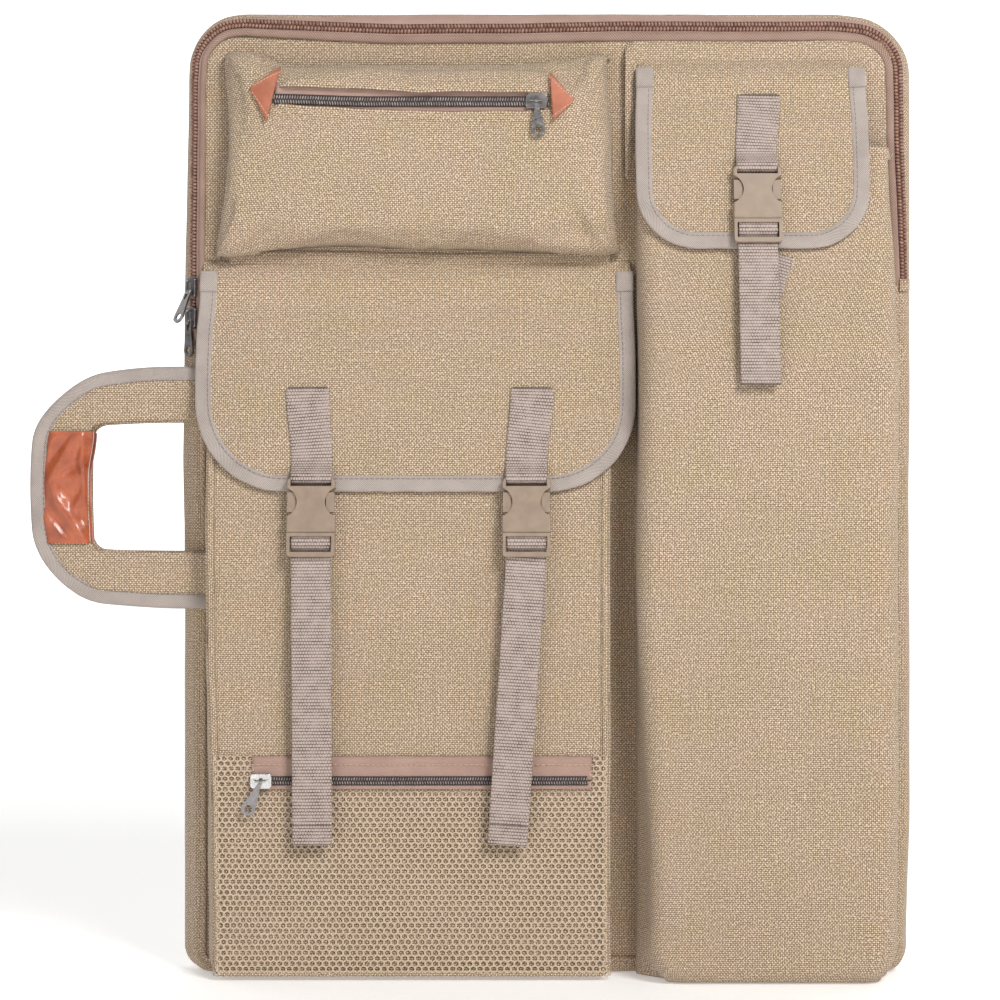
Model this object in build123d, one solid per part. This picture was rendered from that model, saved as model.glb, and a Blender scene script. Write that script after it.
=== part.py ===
from build123d import *
import os
from math import cos, radians, sin

# A canvas portfolio case for drawing boards, standing on its lower edge with its pockets to the front.
# Frame: +X to the right, -Y to the front, +Z up, origin in the middle of the base. Millimetres.
# A (low, high) pair names each extent.

# ---- Driving dimensions -------------------------------------------------------------------------

# Case
CASE_WIDTH, CASE_HEIGHT, CASE_DEPTH = 480.0, 635.0, 40.0
TOP_RADIUS, BOTTOM_RADIUS, EDGE_RADIUS = 34.0, 18.0, 8.0
CANVAS = 1.5
FOAM = 4.0
LINING = 0.6
PIPING = 3.0
PIPING_PROUD = 0.8

# Zips: a closed coil runs in two halves with a slot between them for the slider's neck
SLOT = 0.45
COIL_HALF, COIL_HEIGHT = 2.6, 1.8
TAPE = 0.8
TAPE_VISIBLE = 5.0
MAIN_ZIP_LEFT_END, MAIN_ZIP_RIGHT_END = 425.0, 459.0
UPPER_SLIDER_Z, LOWER_SLIDER_Z = 457.0, 437.0
REST_PULL_LIFT = 26.0

# Handles
HANDLE_REACH = 346.0
HANDLE_AXIS_X = -230.0
HANDLE_Z = (245.0, 404.0)
HANDLE_STRAP = 39.0
HANDLE_OUTER_RADIUS, HANDLE_INNER_RADIUS = 50.0, 7.0
HANDLE_THICK, HANDLE_COVER = 6.0, 1.2
HANDLE_GAP_FRONT, HANDLE_GAP_REAR = 1.8, 2.0
HANDLE_BINDING = 9.0
GRIP_Z = (289.0, 360.0)

# Flaps and their bindings
FLAP_THICK, BINDING_PROUD, BINDING_WIDTH = 2.0, 0.4, 8.0
FLAP_ROOT_Y = -25.0
UNDER_FLAP = 1.5

# Middle pocket, with the mesh pocket on its face
BIG_X = (-226.0, 38.0)
BIG_BOTTOM, BIG_MOUTH, BIG_FACE_Y = 6.0, 425.0, -47.5
BIG_FLAP_X = (-231.0, 54.0)
BIG_FLAP_ROOT, BIG_FLAP_LENGTH, BIG_FLAP_ANGLE, BIG_FLAP_CORNER = 467.0, 147.0, 8.0, 55.0
BIG_BUCKLE_X = (-157.0, -16.0)
BIG_BUCKLE_DROP, BIG_STRAP_DROP = 176.0, 80.0
BIG_TAIL_LENGTH, BIG_TAIL_LEANS = 187.0, (1.0, -12.5)
MESH_TOP, MESH_COIL_Z, MESH_STANDOFF = 147.0, 131.0, 2.3
MESH_ZIP_X = (-198.0, 25.0)
MESH_SLIDER_X = -190.0

# Upper left pocket
TOP_X, TOP_Z = (-222.0, 47.0), (474.0, 614.0)
TOP_FACE_Y, TOP_CORNER, TOP_EDGE = -50.0, 22.0, 20.0
TOP_ZIP_X, TOP_COIL_Z = (-181.0, -2.0), 577.0
TOP_SLIDER_X = -9.5
PATCH_WIDTH, PATCH_HEIGHT, PATCH_THICK = 18.0, 32.0, 1.2

# Tube pocket
TUBE_X = (57.3, 224.0)
TUBE_MOUTH, TUBE_FACE_Y, TUBE_EDGE = 547.0, -68.0, 14.0
TUBE_BACK_X = (50.0, 220.0)
TUBE_BACK_TOP, TUBE_BACK_THICK = 620.0, 1.0
TUBE_FLAP_X = (58.0, 208.0)
TUBE_FLAP_ROOT, TUBE_FLAP_LENGTH, TUBE_FLAP_ANGLE, TUBE_FLAP_CORNER = 602.0, 124.0, 12.0, 32.0
TUBE_BUCKLE_X, TUBE_BUCKLE_DROP, TUBE_STRAP_DROP = 135.5, 107.0, 20.0
TUBE_TAIL_LENGTH = 94.0

# Webbing and buckles
WEBBING_HALF, WEBBING = 13.0, 1.5
BUCKLE_LENGTH, BUCKLE_HALF, BUCKLE_HALF_THICK = 36.0, 16.0, 4.2
BUCKLE_STANDOFF = 5.0
BAR_DROP, BAR_RADIUS = 7.0, 1.3
TAIL_DROP, TAIL_BACK, TAIL_TOP = 17.0, 0.75, 5.0
BIG_ANCHOR_Z = (238.0, 274.0)
TUBE_ANCHOR_X, TUBE_ANCHOR_DROP, TUBE_ANCHOR_LENGTH, TUBE_ANCHOR_LEAN = 145.8, 129.0, 36.0, 17.0

HALF_WIDTH = CASE_WIDTH / 2
HALF_DEPTH = CASE_DEPTH / 2
FAR = 1000.0


# ---- Shape helpers ------------------------------------------------------------------------------


def block(x, y, z):
    """A box from three (low, high) pairs."""
    size = [high - low for low, high in (x, y, z)]
    middle = [(high + low) / 2 for low, high in (x, y, z)]
    return Pos(*middle) * Box(*size)


def rounded(x, z, top=0.0, bottom=0.0):
    """A rectangle in (x, z) with its upper and lower corners rounded."""
    face = Rectangle(x[1] - x[0], z[1] - z[0])
    if top:
        face = fillet(face.vertices().group_by(Axis.Y)[-1], top)
    if bottom:
        face = fillet(face.vertices().group_by(Axis.Y)[0], bottom)
    return Pos((x[0] + x[1]) / 2, (z[0] + z[1]) / 2) * face


def prism(face, y):
    """Gives a face drawn in (x, z) its depth, from y[0] at the front to y[1] at the back."""
    plane = Plane(origin=(0, y[1], 0), x_dir=(1, 0, 0), z_dir=(0, -1, 0))
    return extrude(plane * face, amount=y[1] - y[0])


def polygon(*points):
    return make_face(Polyline(*points, close=True))


def side_block(points, x):
    """Gives a side profile drawn in (y, z) its width in x."""
    plane = Plane(origin=(x[0], 0, 0), x_dir=(0, 1, 0), z_dir=(1, 0, 0))
    return extrude(plane * polygon(*points), amount=x[1] - x[0])


def rod(radius, x, y=0.0, z=0.0):
    """A cylinder along X."""
    return Pos((x[0] + x[1]) / 2, y, z) * Rot(0, 90, 0) * Cylinder(radius, x[1] - x[0])


def inset(pair, amount):
    return (pair[0] + amount, pair[1] - amount)


def puffed(x, y, z, corner, edge):
    """A closed pillow: a rounded plate whose front rim is rounded too."""
    body = prism(rounded(x, z, corner, corner), y)
    return fillet(body.faces().sort_by(Axis.Y)[0].edges(), edge)


# ---- Case ---------------------------------------------------------------------------------------


def case_outline(inward=0.0):
    x = inset((-HALF_WIDTH, HALF_WIDTH), inward)
    z = inset((0.0, CASE_HEIGHT), inward)
    return rounded(x, z, max(TOP_RADIUS - inward, 0.5), max(BOTTOM_RADIUS - inward, 0.5))


def case_ring(outer, inner, y):
    return prism(case_outline(outer), y) - prism(case_outline(inner), y)


def case_edge():
    """The quarter-round band that joins the front panel to the sides, all the way round."""
    outer = prism(case_outline(), (-HALF_DEPTH, HALF_DEPTH))
    outer = fillet(outer.faces().sort_by(Axis.Y)[0].edges(), EDGE_RADIUS)
    inner = prism(case_outline(CANVAS), (CANVAS - HALF_DEPTH, HALF_DEPTH))
    inner = fillet(inner.faces().sort_by(Axis.Y)[0].edges(), EDGE_RADIUS - CANVAS)
    depth = (-HALF_DEPTH, EDGE_RADIUS - HALF_DEPTH)
    return ((outer - inner) & prism(case_outline(), depth)) - prism(case_outline(EDGE_RADIUS), depth)


def above_zip_ends(y):
    """The space above the two ends of the main zip."""
    left = block((-FAR, 0), y, (MAIN_ZIP_LEFT_END, FAR))
    return left + block((0, FAR), y, (MAIN_ZIP_RIGHT_END, FAR))


def case_panels():
    """Front and back: canvas outside, foam behind it, and the lining inside."""
    seam = EDGE_RADIUS + PIPING
    front, back = -HALF_DEPTH, HALF_DEPTH
    foam_front = front + CANVAS
    foam_back = back - CANVAS
    lining = prism(case_outline(seam), (foam_front + FOAM, foam_front + FOAM + LINING))
    lining += prism(case_outline(PIPING), (foam_back - FOAM - LINING, foam_back - FOAM))
    return {
        "front_panel": prism(case_outline(seam), (front, foam_front)),
        "front_foam": prism(case_outline(seam), (foam_front, foam_front + FOAM)),
        "back_panel": prism(case_outline(PIPING), (foam_back, back)),
        "back_foam": prism(case_outline(PIPING), (foam_back - FOAM, foam_back)),
        "lining": lining,
    }


def case_sides():
    """Gusset, edge band below the zip, and the piping in both seams."""
    piping_depth = (-HALF_DEPTH - PIPING_PROUD, PIPING - HALF_DEPTH)
    front_ring = case_ring(EDGE_RADIUS, EDGE_RADIUS + PIPING, piping_depth)
    for pocket_x in (BIG_X, TUBE_X):
        front_ring -= block(inset(pocket_x, -0.5), (-FAR, -HALF_DEPTH), (0, BOTTOM_RADIUS))
    over = above_zip_ends((-FAR, FAR))
    return {
        "gusset": case_ring(0.0, CANVAS, (EDGE_RADIUS - HALF_DEPTH, HALF_DEPTH - PIPING)),
        "front_edge_band": case_edge() - over,
        "front_piping": front_ring - over,
        "main_zip_welt": front_ring & over,
        "back_piping": case_ring(0.0, PIPING, (HALF_DEPTH - PIPING, HALF_DEPTH)),
    }


# ---- Zips ---------------------------------------------------------------------------------------

# The main zip runs along the middle of the edge band, which faces 45 degrees between front and side.
BAND_MIDDLE = (EDGE_RADIUS - CANVAS / 2) * cos(radians(45))
ZIP_INSET = EDGE_RADIUS - BAND_MIDDLE
ZIP_Y = EDGE_RADIUS - HALF_DEPTH - BAND_MIDDLE
BAND_ACROSS = Vector(-1, 1, 0).normalized()
BAND_OUTWARD = Vector(-1, -1, 0).normalized()


def main_zip_path():
    x = HALF_WIDTH - ZIP_INSET
    top = CASE_HEIGHT - ZIP_INSET
    left = [(-x, ZIP_Y, MAIN_ZIP_LEFT_END), (-x, ZIP_Y, top)]
    right = [(x, ZIP_Y, top), (x, ZIP_Y, MAIN_ZIP_RIGHT_END)]
    return FilletPolyline(*left, *right, radius=TOP_RADIUS - ZIP_INSET)


def along_main_zip(across, outward):
    """Sweeps a rectangle along the main zip: its extent across the tape, and outward from its middle."""
    path = main_zip_path()
    section = Rectangle(across[1] - across[0], outward[1] - outward[0])
    section = Pos(sum(across) / 2, sum(outward) / 2) * section
    start = Plane(origin=path @ 0, x_dir=BAND_ACROSS, z_dir=(0, 0, 1))
    return sweep(start * section, path=path)


def on_left_band(z):
    """A frame on the edge band's left run: x across the tape, y down, z outward from its surface."""
    surface = Vector(ZIP_INSET - HALF_WIDTH, ZIP_Y, z) + BAND_OUTWARD * (CANVAS / 2)
    return Plane(origin=surface, x_dir=BAND_ACROSS, z_dir=BAND_OUTWARD).location


def on_pocket(x, y, z):
    """A frame on a pocket's zip: x down, y to the right, z towards the front."""
    return Plane(origin=(x, y, z), x_dir=(0, 0, -1), z_dir=(0, -1, 0)).location


def main_zip():
    surface = CANVAS / 2 + 0.05
    band = (case_edge() & above_zip_ends((-FAR, FAR))) - along_main_zip((-SLOT, SLOT), (-2.0, 2.0))
    rear, front = sorted(band.solids(), key=lambda s: -s.center().Y)
    coil = along_main_zip((SLOT, COIL_HALF), (surface, surface + COIL_HEIGHT))
    coil += along_main_zip((-COIL_HALF, -SLOT), (surface, surface + COIL_HEIGHT))
    stop = block((-3.0, 3.0), (0.3, 5.0), (0.0, COIL_HEIGHT))
    left_stop = on_left_band(MAIN_ZIP_LEFT_END) * stop
    right_stop = Pos(0, 0, MAIN_ZIP_RIGHT_END - MAIN_ZIP_LEFT_END) * mirror(left_stop, about=Plane.YZ)
    return {
        "main_zip_tape_front": front,
        "main_zip_tape_rear": rear,
        "main_zip_coil": coil,
        "main_zip_end_stops": left_stop + right_stop,
    }


def pocket_zip(x, y, z, upper, lower):
    """Tapes and coil of a straight pocket zip. The tapes' outer faces are at y, far edges upper and lower."""
    tape = block(x, (y, y + TAPE), (z + SLOT, upper)) + block(x, (y, y + TAPE), (lower, z - SLOT))
    depth = (y - 0.05 - COIL_HEIGHT, y - 0.05)
    coil = block(x, depth, (z + SLOT, z + COIL_HALF)) + block(x, depth, (z - COIL_HALF, z - SLOT))
    return tape, coil


# A slider's own frame has x across the tape, y along it and z outward, with the tape's surface at z = 0.
SLIDER_HALF_WIDTH, SLIDER_HALF_LENGTH = 5.0, 7.0
SLIDER_TOP = (2.0, 3.2)
ARCH_HALF_LENGTH, ARCH_OPENING = 5.0, 3.6
ARCH_BAR_Z, CROSSBAR_Y, CROSSBAR_Z = 5.2, 2.4, 4.2
PULL_HALF_THICK, PULL_LENGTH, PULL_HALF_WIDTH = 0.7, 24.0, 4.5


def slider_body(tape_depth):
    """Top plate with its flanges, the neck through the slot, and the plate behind the tape."""
    width = (-SLIDER_HALF_WIDTH, SLIDER_HALF_WIDTH)
    top = block(width, (-SLIDER_HALF_LENGTH, SLIDER_HALF_LENGTH), SLIDER_TOP)
    top = fillet(top.edges().filter_by(Axis.Z), 2.5)
    top = fillet(top.faces().sort_by(Axis.Z)[-1].edges(), 0.5)
    body = top
    for side in (-1, 1):
        wall = sorted((side * 2.9, side * 3.9))
        body += block(wall, (-SLIDER_HALF_LENGTH + 1, SLIDER_HALF_LENGTH - 1), (0.9, SLIDER_TOP[0]))
    body += block((-0.22, 0.22), (3.5, 6.0), (-tape_depth, SLIDER_TOP[0]))
    return body + block((-3.6, 3.6), (-6.0, 6.0), (-tape_depth - 1.0, -tape_depth))


def arch_slider():
    """The main zip's slider: a tall arch along it holds the pull's crossbar."""
    base = SLIDER_TOP[1] - 0.2
    arch = block((-1.1, 1.1), (-ARCH_HALF_LENGTH, ARCH_HALF_LENGTH), (base, 6.4))
    arch = fillet(arch.edges().filter_by(Axis.X).group_by(Axis.Z)[-1], 2.0)
    opening = block((-2.0, 2.0), (-ARCH_OPENING, ARCH_OPENING), (SLIDER_TOP[1], ARCH_BAR_Z))
    return slider_body(3.1) + (arch - opening)


def bar_slider():
    """A pocket zip's slider: a round bar along it, on two posts, holds the pull's ring."""
    body = slider_body(1.1)
    for side in (-1, 1):
        post = sorted((side * 4.0, side * 5.0))
        body += block((-0.9, 0.9), post, (SLIDER_TOP[1] - 0.2, 6.0))
    return body + Pos(0, 0, ARCH_BAR_Z) * Rot(90, 0, 0) * Cylinder(0.75, 9.0)


def pull_plate(start, narrow):
    """The pull's tapered plate along +Y, with its round hole, from start to its rounded end."""
    end = PULL_LENGTH - PULL_HALF_WIDTH
    sides = [(-narrow, start), (narrow, start), (PULL_HALF_WIDTH, end), (-PULL_HALF_WIDTH, end)]
    face = polygon(*sides) + Pos(0, end) * Circle(PULL_HALF_WIDTH)
    face -= Pos(0, end) * Circle(2.5)
    return Pos(0, 0, -PULL_HALF_THICK) * extrude(face, amount=2 * PULL_HALF_THICK)


def arch_pull(lift):
    """The main zip's pull. Its crossbar is on the X axis; it hangs along +Y, lifted outward by an angle."""
    pull = rod(0.7, (-3.0, 3.0)) + pull_plate(6.5, 3.0)
    for side in (-1, 1):
        arm = sorted((side * 1.6, side * 3.0))
        pull += block(arm, (0.0, 7.5), (-PULL_HALF_THICK, PULL_HALF_THICK))
    return Rot(lift, 0, 0) * pull


def ring_pull(lean):
    """A pocket zip's pull. Its ring is round the Y axis, and it hangs along +X, leaning by an angle."""
    plate = Rot(0, 0, -90 + lean) * (pull_plate(1.4, 1.0))
    ring = Rot(90, 0, 0) * Cylinder(1.8, 2.0)
    return (ring + plate) - Rot(90, 0, 0) * Cylinder(1.0, 4.0)


def sliders():
    pull_at = Pos(0, CROSSBAR_Y, CROSSBAR_Z)
    upper, lower = on_left_band(UPPER_SLIDER_Z), on_left_band(LOWER_SLIDER_Z)
    top = on_pocket(TOP_SLIDER_X, TOP_FACE_Y, TOP_COIL_Z)
    mesh = on_pocket(MESH_SLIDER_X, BIG_FACE_Y - MESH_STANDOFF, MESH_COIL_Z)
    ring_at = Pos(0, 0, ARCH_BAR_Z)
    return {
        "main_slider_upper": upper * arch_slider(),
        "main_pull_upper": upper * pull_at * arch_pull(REST_PULL_LIFT),
        "main_slider_lower": lower * arch_slider(),
        "main_pull_lower": lower * pull_at * arch_pull(0.0),
        "top_slider": top * bar_slider(),
        "top_pull": top * ring_at * ring_pull(4.0),
        "mesh_slider": mesh * bar_slider(),
        "mesh_pull": mesh * ring_at * ring_pull(-24.0),
    }


# ---- Handles ------------------------------------------------------------------------------------


def handle_outline(inward=0.0):
    """The handle's strap: a U lying on its back, open at the case. inward takes its outer edge in."""
    x = (-HANDLE_REACH + inward, HANDLE_AXIS_X)
    z = inset(HANDLE_Z, inward)
    outer = Rectangle(x[1] - x[0], z[1] - z[0])
    outer = fillet(outer.vertices().group_by(Axis.X)[0], HANDLE_OUTER_RADIUS - inward)
    outer = Pos((x[0] + x[1]) / 2, sum(z) / 2) * outer
    hole_x = (-HANDLE_REACH + HANDLE_STRAP, HANDLE_AXIS_X + 10)
    hole_z = inset(HANDLE_Z, HANDLE_STRAP - 3)
    hole = Rectangle(hole_x[1] - hole_x[0], hole_z[1] - hole_z[0])
    hole = fillet(hole.vertices().group_by(Axis.X)[0], HANDLE_INNER_RADIUS)
    return outer - Pos((hole_x[0] + hole_x[1]) / 2, sum(hole_z) / 2) * hole


def handle(gap):
    """A handle lying gap in front of the front panel: cover, core, binding and grip."""
    back = -HALF_DEPTH - gap
    front = back - HANDLE_THICK
    body = handle_outline(HANDLE_BINDING)
    cover = prism(body, (front, front + HANDLE_COVER)) + prism(body, (back - HANDLE_COVER, back))
    inner_edge = -HANDLE_REACH + HANDLE_STRAP
    leather_x = (-HANDLE_REACH + HANDLE_BINDING + 0.6, inner_edge + HANDLE_COVER)
    leather = block(leather_x, (front - 0.8, back + 0.8), GRIP_Z)
    return {
        "handle_cover": cover,
        "handle_core": prism(body, (front + HANDLE_COVER, back - HANDLE_COVER)),
        "handle_binding": prism(handle_outline(), (front - 0.6, back + 0.6)) - prism(body, (-FAR, FAR)),
        "handle_grip": leather - block((-FAR, inner_edge), (front, back), (0, FAR)),
    }


def handles():
    front = {f"front_{name}": solid for name, solid in handle(HANDLE_GAP_FRONT).items()}
    mirrored = handle(HANDLE_GAP_REAR)
    rear = {f"rear_{name}": mirror(solid, about=Plane.XZ) for name, solid in mirrored.items()}
    return front | rear


# ---- Buckles and webbing ------------------------------------------------------------------------

# A buckle's own frame has z up, its mouth at z = 0 and y = 0 in the middle of its thickness.
PRESS_X, PRESS_Z, PRESS_RADIUS = 19.2, 20.0, 10.0
CAVITY_HALF, CAVITY_HALF_THICK = 13.2, 2.9
MALE_HALF, RAIL_HALF, MALE_LENGTH = 15.6, 13.6, 16.0


def press_disc(clearance=0.0):
    """Both round side cutouts, where the prongs are squeezed, in (x, z)."""
    disc = Circle(PRESS_RADIUS - clearance)
    return Pos(-PRESS_X, PRESS_Z) * disc + Pos(PRESS_X, PRESS_Z) * disc


def female_half():
    outline = rounded((-BUCKLE_HALF, BUCKLE_HALF), (0, BUCKLE_LENGTH), 3.0, 1.5)
    outer = prism(outline, (-BUCKLE_HALF_THICK, BUCKLE_HALF_THICK))
    outer = fillet(outer.faces().sort_by(Axis.Y)[0].edges(), 1.2)
    outer -= prism(press_disc(), (-FAR, FAR))
    slot = (30.5, 33.9)
    outer -= block((-WEBBING_HALF - 0.4, WEBBING_HALF + 0.4), (-FAR, FAR), slot)
    for side in (-1, 1):
        thinned = sorted((side * 2.0, side * FAR))
        outer -= block((-WEBBING_HALF - 0.4, WEBBING_HALF + 0.4), thinned, (slot[1] - 0.1, FAR))
    cavity = block((-CAVITY_HALF, CAVITY_HALF), (-CAVITY_HALF_THICK, CAVITY_HALF_THICK), (-1.0, 27.0))
    return outer - cavity


def male_half():
    rails = block((-MALE_HALF, MALE_HALF), (-3.6, 3.6), (-MALE_LENGTH, -0.2))
    rails = fillet(rails.edges().filter_by(Axis.Y).group_by(Axis.Z)[0], 2.5)
    rails -= block((-RAIL_HALF, RAIL_HALF), (-FAR, FAR), (-MALE_LENGTH - 1, -2.6))
    lower_bar = block((-RAIL_HALF, RAIL_HALF), (-3.6, -1.2), (-MALE_LENGTH, -MALE_LENGTH + 3.2))
    tongue = block((-1.8, 1.8), (-2.2, 2.2), (-0.3, 17.0))
    return rails + lower_bar + tongue + rod(BAR_RADIUS, (-RAIL_HALF, RAIL_HALF), 0.0, -BAR_DROP)


def prongs():
    """The two springy arms, whose heads fill the side cutouts and are squeezed to release the buckle."""
    pair = []
    for side in (-1, 1):
        arm = block(sorted((side * 9.8, side * 12.6)), (-2.2, 2.2), (-0.2, 14.0))
        shaft = rounded(sorted((side * 9.8, side * 12.9)), (13.4, 26.5))
        button = rounded(sorted((side * 9.8, side * 15.4)), (13.4, 26.5)) & press_disc(0.4)
        pair.append(arm + prism(shaft + button, (-2.6, 2.6)))
    return pair[0] + pair[1]


def flap_strap(top, mouth, x):
    """The strap sewn to a flap, looped round the buckle's upper bar, in the flap's frame."""
    middle = -FLAP_THICK - BUCKLE_STANDOFF
    across = (x - WEBBING_HALF, x + WEBBING_HALF)
    under = -FLAP_THICK - 0.4
    sewn = block(across, (under - WEBBING, under), (mouth + BUCKLE_LENGTH + 0.4, top))
    loop = block(across, (middle - 3.6, middle + 3.6), (mouth + 32.2, mouth + 38.5))
    bar = block(inset(across, -1), (middle - 2.2, middle + 2.2), (mouth + 33.6, mouth + BUCKLE_LENGTH + 0.3))
    loop -= bar
    return sewn + loop


def tail(length, lean):
    """A strap's loose end, which bends on the X axis under the buckle's lower bar. lean shifts its tip."""
    left = [(-WEBBING_HALF + lean, -length), (-WEBBING_HALF, 0.0), (-WEBBING_HALF, TAIL_TOP)]
    right = [(WEBBING_HALF, TAIL_TOP), (WEBBING_HALF, 0.0), (WEBBING_HALF + lean, -length)]
    return prism(polygon(*left, *right), (-WEBBING / 2, WEBBING / 2))


# ---- Flaps --------------------------------------------------------------------------------------

BIG_FLAP_FRAME = Pos(0, FLAP_ROOT_Y, BIG_FLAP_ROOT) * Rot(-BIG_FLAP_ANGLE, 0, 0)
TUBE_FLAP_FRAME = Pos(0, FLAP_ROOT_Y, TUBE_FLAP_ROOT) * Rot(-TUBE_FLAP_ANGLE, 0, 0)


def flap(x, length, corner):
    """A flap's canvas and binding: hinge line on X, inner face at y = 0, hanging along -Z."""
    outline = rounded(x, (-length, 0.0), bottom=corner)
    canvas = rounded(inset(x, BINDING_WIDTH), (BINDING_WIDTH - length, 0.0), bottom=corner - BINDING_WIDTH)
    binding = prism(outline, (-FLAP_THICK - BINDING_PROUD, BINDING_PROUD)) - prism(canvas, (-FAR, FAR))
    return prism(canvas, (-FLAP_THICK, 0.0)), binding


def flap_seams():
    """The strips on the front panel that close each flapped pocket's top, behind the flap's hinge line."""
    depth = (FLAP_ROOT_Y + 1.2, -HALF_DEPTH)
    big = block(inset(BIG_FLAP_X, PIPING), depth, (BIG_FLAP_ROOT - 2.0, BIG_FLAP_ROOT))
    tube_depth = (depth[0], -HALF_DEPTH - TUBE_BACK_THICK)
    tube = block(TUBE_FLAP_X, tube_depth, (TUBE_FLAP_ROOT - 2.0, TUBE_FLAP_ROOT))
    return {"flap_seams": big + tube}


def buckle_at(frame, x, drop):
    """Where a buckle's mouth is, in the middle of its thickness."""
    return frame * Pos(x, -FLAP_THICK - BUCKLE_STANDOFF, -drop)


def big_flap():
    canvas, binding = flap(BIG_FLAP_X, BIG_FLAP_LENGTH, BIG_FLAP_CORNER)
    straps = [BIG_FLAP_FRAME * flap_strap(-BIG_STRAP_DROP, -BIG_BUCKLE_DROP, x) for x in BIG_BUCKLE_X]
    places = [buckle_at(BIG_FLAP_FRAME, x, BIG_BUCKLE_DROP) for x in BIG_BUCKLE_X]
    females = [place * female_half() for place in places]
    nodes = {
        "big_flap": BIG_FLAP_FRAME * canvas,
        "big_flap_binding": BIG_FLAP_FRAME * binding,
        "big_flap_straps": straps[0] + straps[1],
        "big_buckle_females": females[0] + females[1],
    }
    for side, place, lean in zip(("left", "right"), places, BIG_TAIL_LEANS):
        bend = (place * Pos(0, TAIL_BACK, -TAIL_DROP)).position
        nodes[f"{side}_buckle_male"] = place * male_half()
        nodes[f"{side}_buckle_prongs"] = place * prongs()
        nodes[f"{side}_strap_tail"] = Pos(bend) * tail(BIG_TAIL_LENGTH, lean)
    return nodes


def tube_flap():
    canvas, binding = flap(TUBE_FLAP_X, TUBE_FLAP_LENGTH, TUBE_FLAP_CORNER)
    place = buckle_at(TUBE_FLAP_FRAME, TUBE_BUCKLE_X, TUBE_BUCKLE_DROP)
    return {
        "tube_flap": TUBE_FLAP_FRAME * canvas,
        "tube_flap_binding": TUBE_FLAP_FRAME * binding,
        "tube_flap_strap": TUBE_FLAP_FRAME * flap_strap(-TUBE_STRAP_DROP, -TUBE_BUCKLE_DROP, TUBE_BUCKLE_X),
        "tube_buckle_female": place * female_half(),
        "tube_buckle_male": place * male_half(),
        "tube_buckle_prongs": place * prongs(),
        "tube_strap_tail": place * Pos(0, TAIL_BACK, -TAIL_DROP) * tail(TUBE_TAIL_LENGTH, 0.0),
    }


# ---- Pockets ------------------------------------------------------------------------------------


def face_profile(root, angle, mouth, face_y, bottom):
    """A flapped pocket's side profile in (y, z): it runs parallel to its flap, then straight down."""
    slope = sin(radians(angle)) / cos(radians(angle))
    under = FLAP_ROOT_Y + UNDER_FLAP

    def flap_y(z):
        return under - (root - z) * slope

    knee = root - (under - face_y) / slope
    panel = -HALF_DEPTH
    return [(panel, bottom), (face_y, bottom), (face_y, knee), (flap_y(mouth), mouth), (panel, mouth)]


def big_pocket():
    profile = face_profile(BIG_FLAP_ROOT, BIG_FLAP_ANGLE, BIG_MOUTH, BIG_FACE_Y, BIG_BOTTOM)
    outer = side_block(profile, BIG_X)
    behind_face = Pos(0, CANVAS, 0) * outer
    inside = Pos(0, CANVAS, 0) * side_block(profile, inset(BIG_X, CANVAS))
    inside &= block((-FAR, FAR), (-FAR, FAR), (BIG_BOTTOM + CANVAS, FAR))
    return {"big_pocket_face": outer - behind_face, "big_pocket_gusset": (outer & behind_face) - inside}


def mesh_pocket():
    """A flat mesh sheet stood off the pocket's face by its hems, under its zip."""
    front = BIG_FACE_Y - MESH_STANDOFF
    x = inset(BIG_X, 1.0)
    hem = 3.0
    lower_tape = MESH_COIL_Z - TAPE_VISIBLE
    sheet_z = (BIG_BOTTOM + 1, MESH_TOP)
    around = block(x, (front, BIG_FACE_Y), sheet_z)
    around -= block(inset(x, hem), (front + TAPE, BIG_FACE_Y + 1), (sheet_z[0] + hem, FAR))
    around -= block(MESH_ZIP_X, (front - 1, BIG_FACE_Y + 1), (lower_tape, FAR))
    tape, coil = pocket_zip(MESH_ZIP_X, front, MESH_COIL_Z, MESH_TOP, lower_tape)
    header = block(MESH_ZIP_X, (front + TAPE, BIG_FACE_Y), (MESH_TOP - hem, MESH_TOP))
    return {"mesh_panel": around, "mesh_zip_tape": tape + header, "mesh_zip_coil": coil}


def top_pocket():
    """The puffed pocket: a hollow shell with a slit, its zip, and a leather patch over each end of it."""
    y = (TOP_FACE_Y, -HALF_DEPTH)
    shell = puffed(TOP_X, y, TOP_Z, TOP_CORNER, TOP_EDGE)
    hollow_y = (TOP_FACE_Y + CANVAS, 0.0)
    hollow_corner, hollow_edge = TOP_CORNER - CANVAS, TOP_EDGE - CANVAS
    shell -= puffed(inset(TOP_X, CANVAS), hollow_y, inset(TOP_Z, CANVAS), hollow_corner, hollow_edge)
    slit = (TOP_COIL_Z - TAPE_VISIBLE, TOP_COIL_Z + TAPE_VISIBLE)
    shell -= block(TOP_ZIP_X, (-FAR, TOP_FACE_Y + 2 * CANVAS), slit)
    shell &= block((-FAR, FAR), (-FAR, -HALF_DEPTH), (0, FAR))
    tape, coil = pocket_zip(TOP_ZIP_X, TOP_FACE_Y, TOP_COIL_Z, slit[1], slit[0])
    patches = []
    for side, end in ((-1, TOP_ZIP_X[0]), (1, TOP_ZIP_X[1])):
        half = PATCH_HEIGHT / 2
        corners = [(end + side, half), (end + side * PATCH_WIDTH, 0.0), (end + side, -half)]
        patch = prism(polygon(*corners), (TOP_FACE_Y - PATCH_THICK, TOP_FACE_Y))
        patches.append(Pos(0, 0, TOP_COIL_Z) * patch)
    return {
        "top_pocket_shell": shell,
        "top_zip_tape": tape,
        "top_zip_coil": coil,
        "zip_end_patches": patches[0] + patches[1],
    }


def front_corners(body):
    """The edges that run up a body's front corners, upright or leaning."""
    upright = [edge for edge in body.edges() if abs((edge % 0.5).Z) > 0.9]
    return [edge for edge in upright if edge.center().Y < -HALF_DEPTH - TUBE_EDGE]


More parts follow.
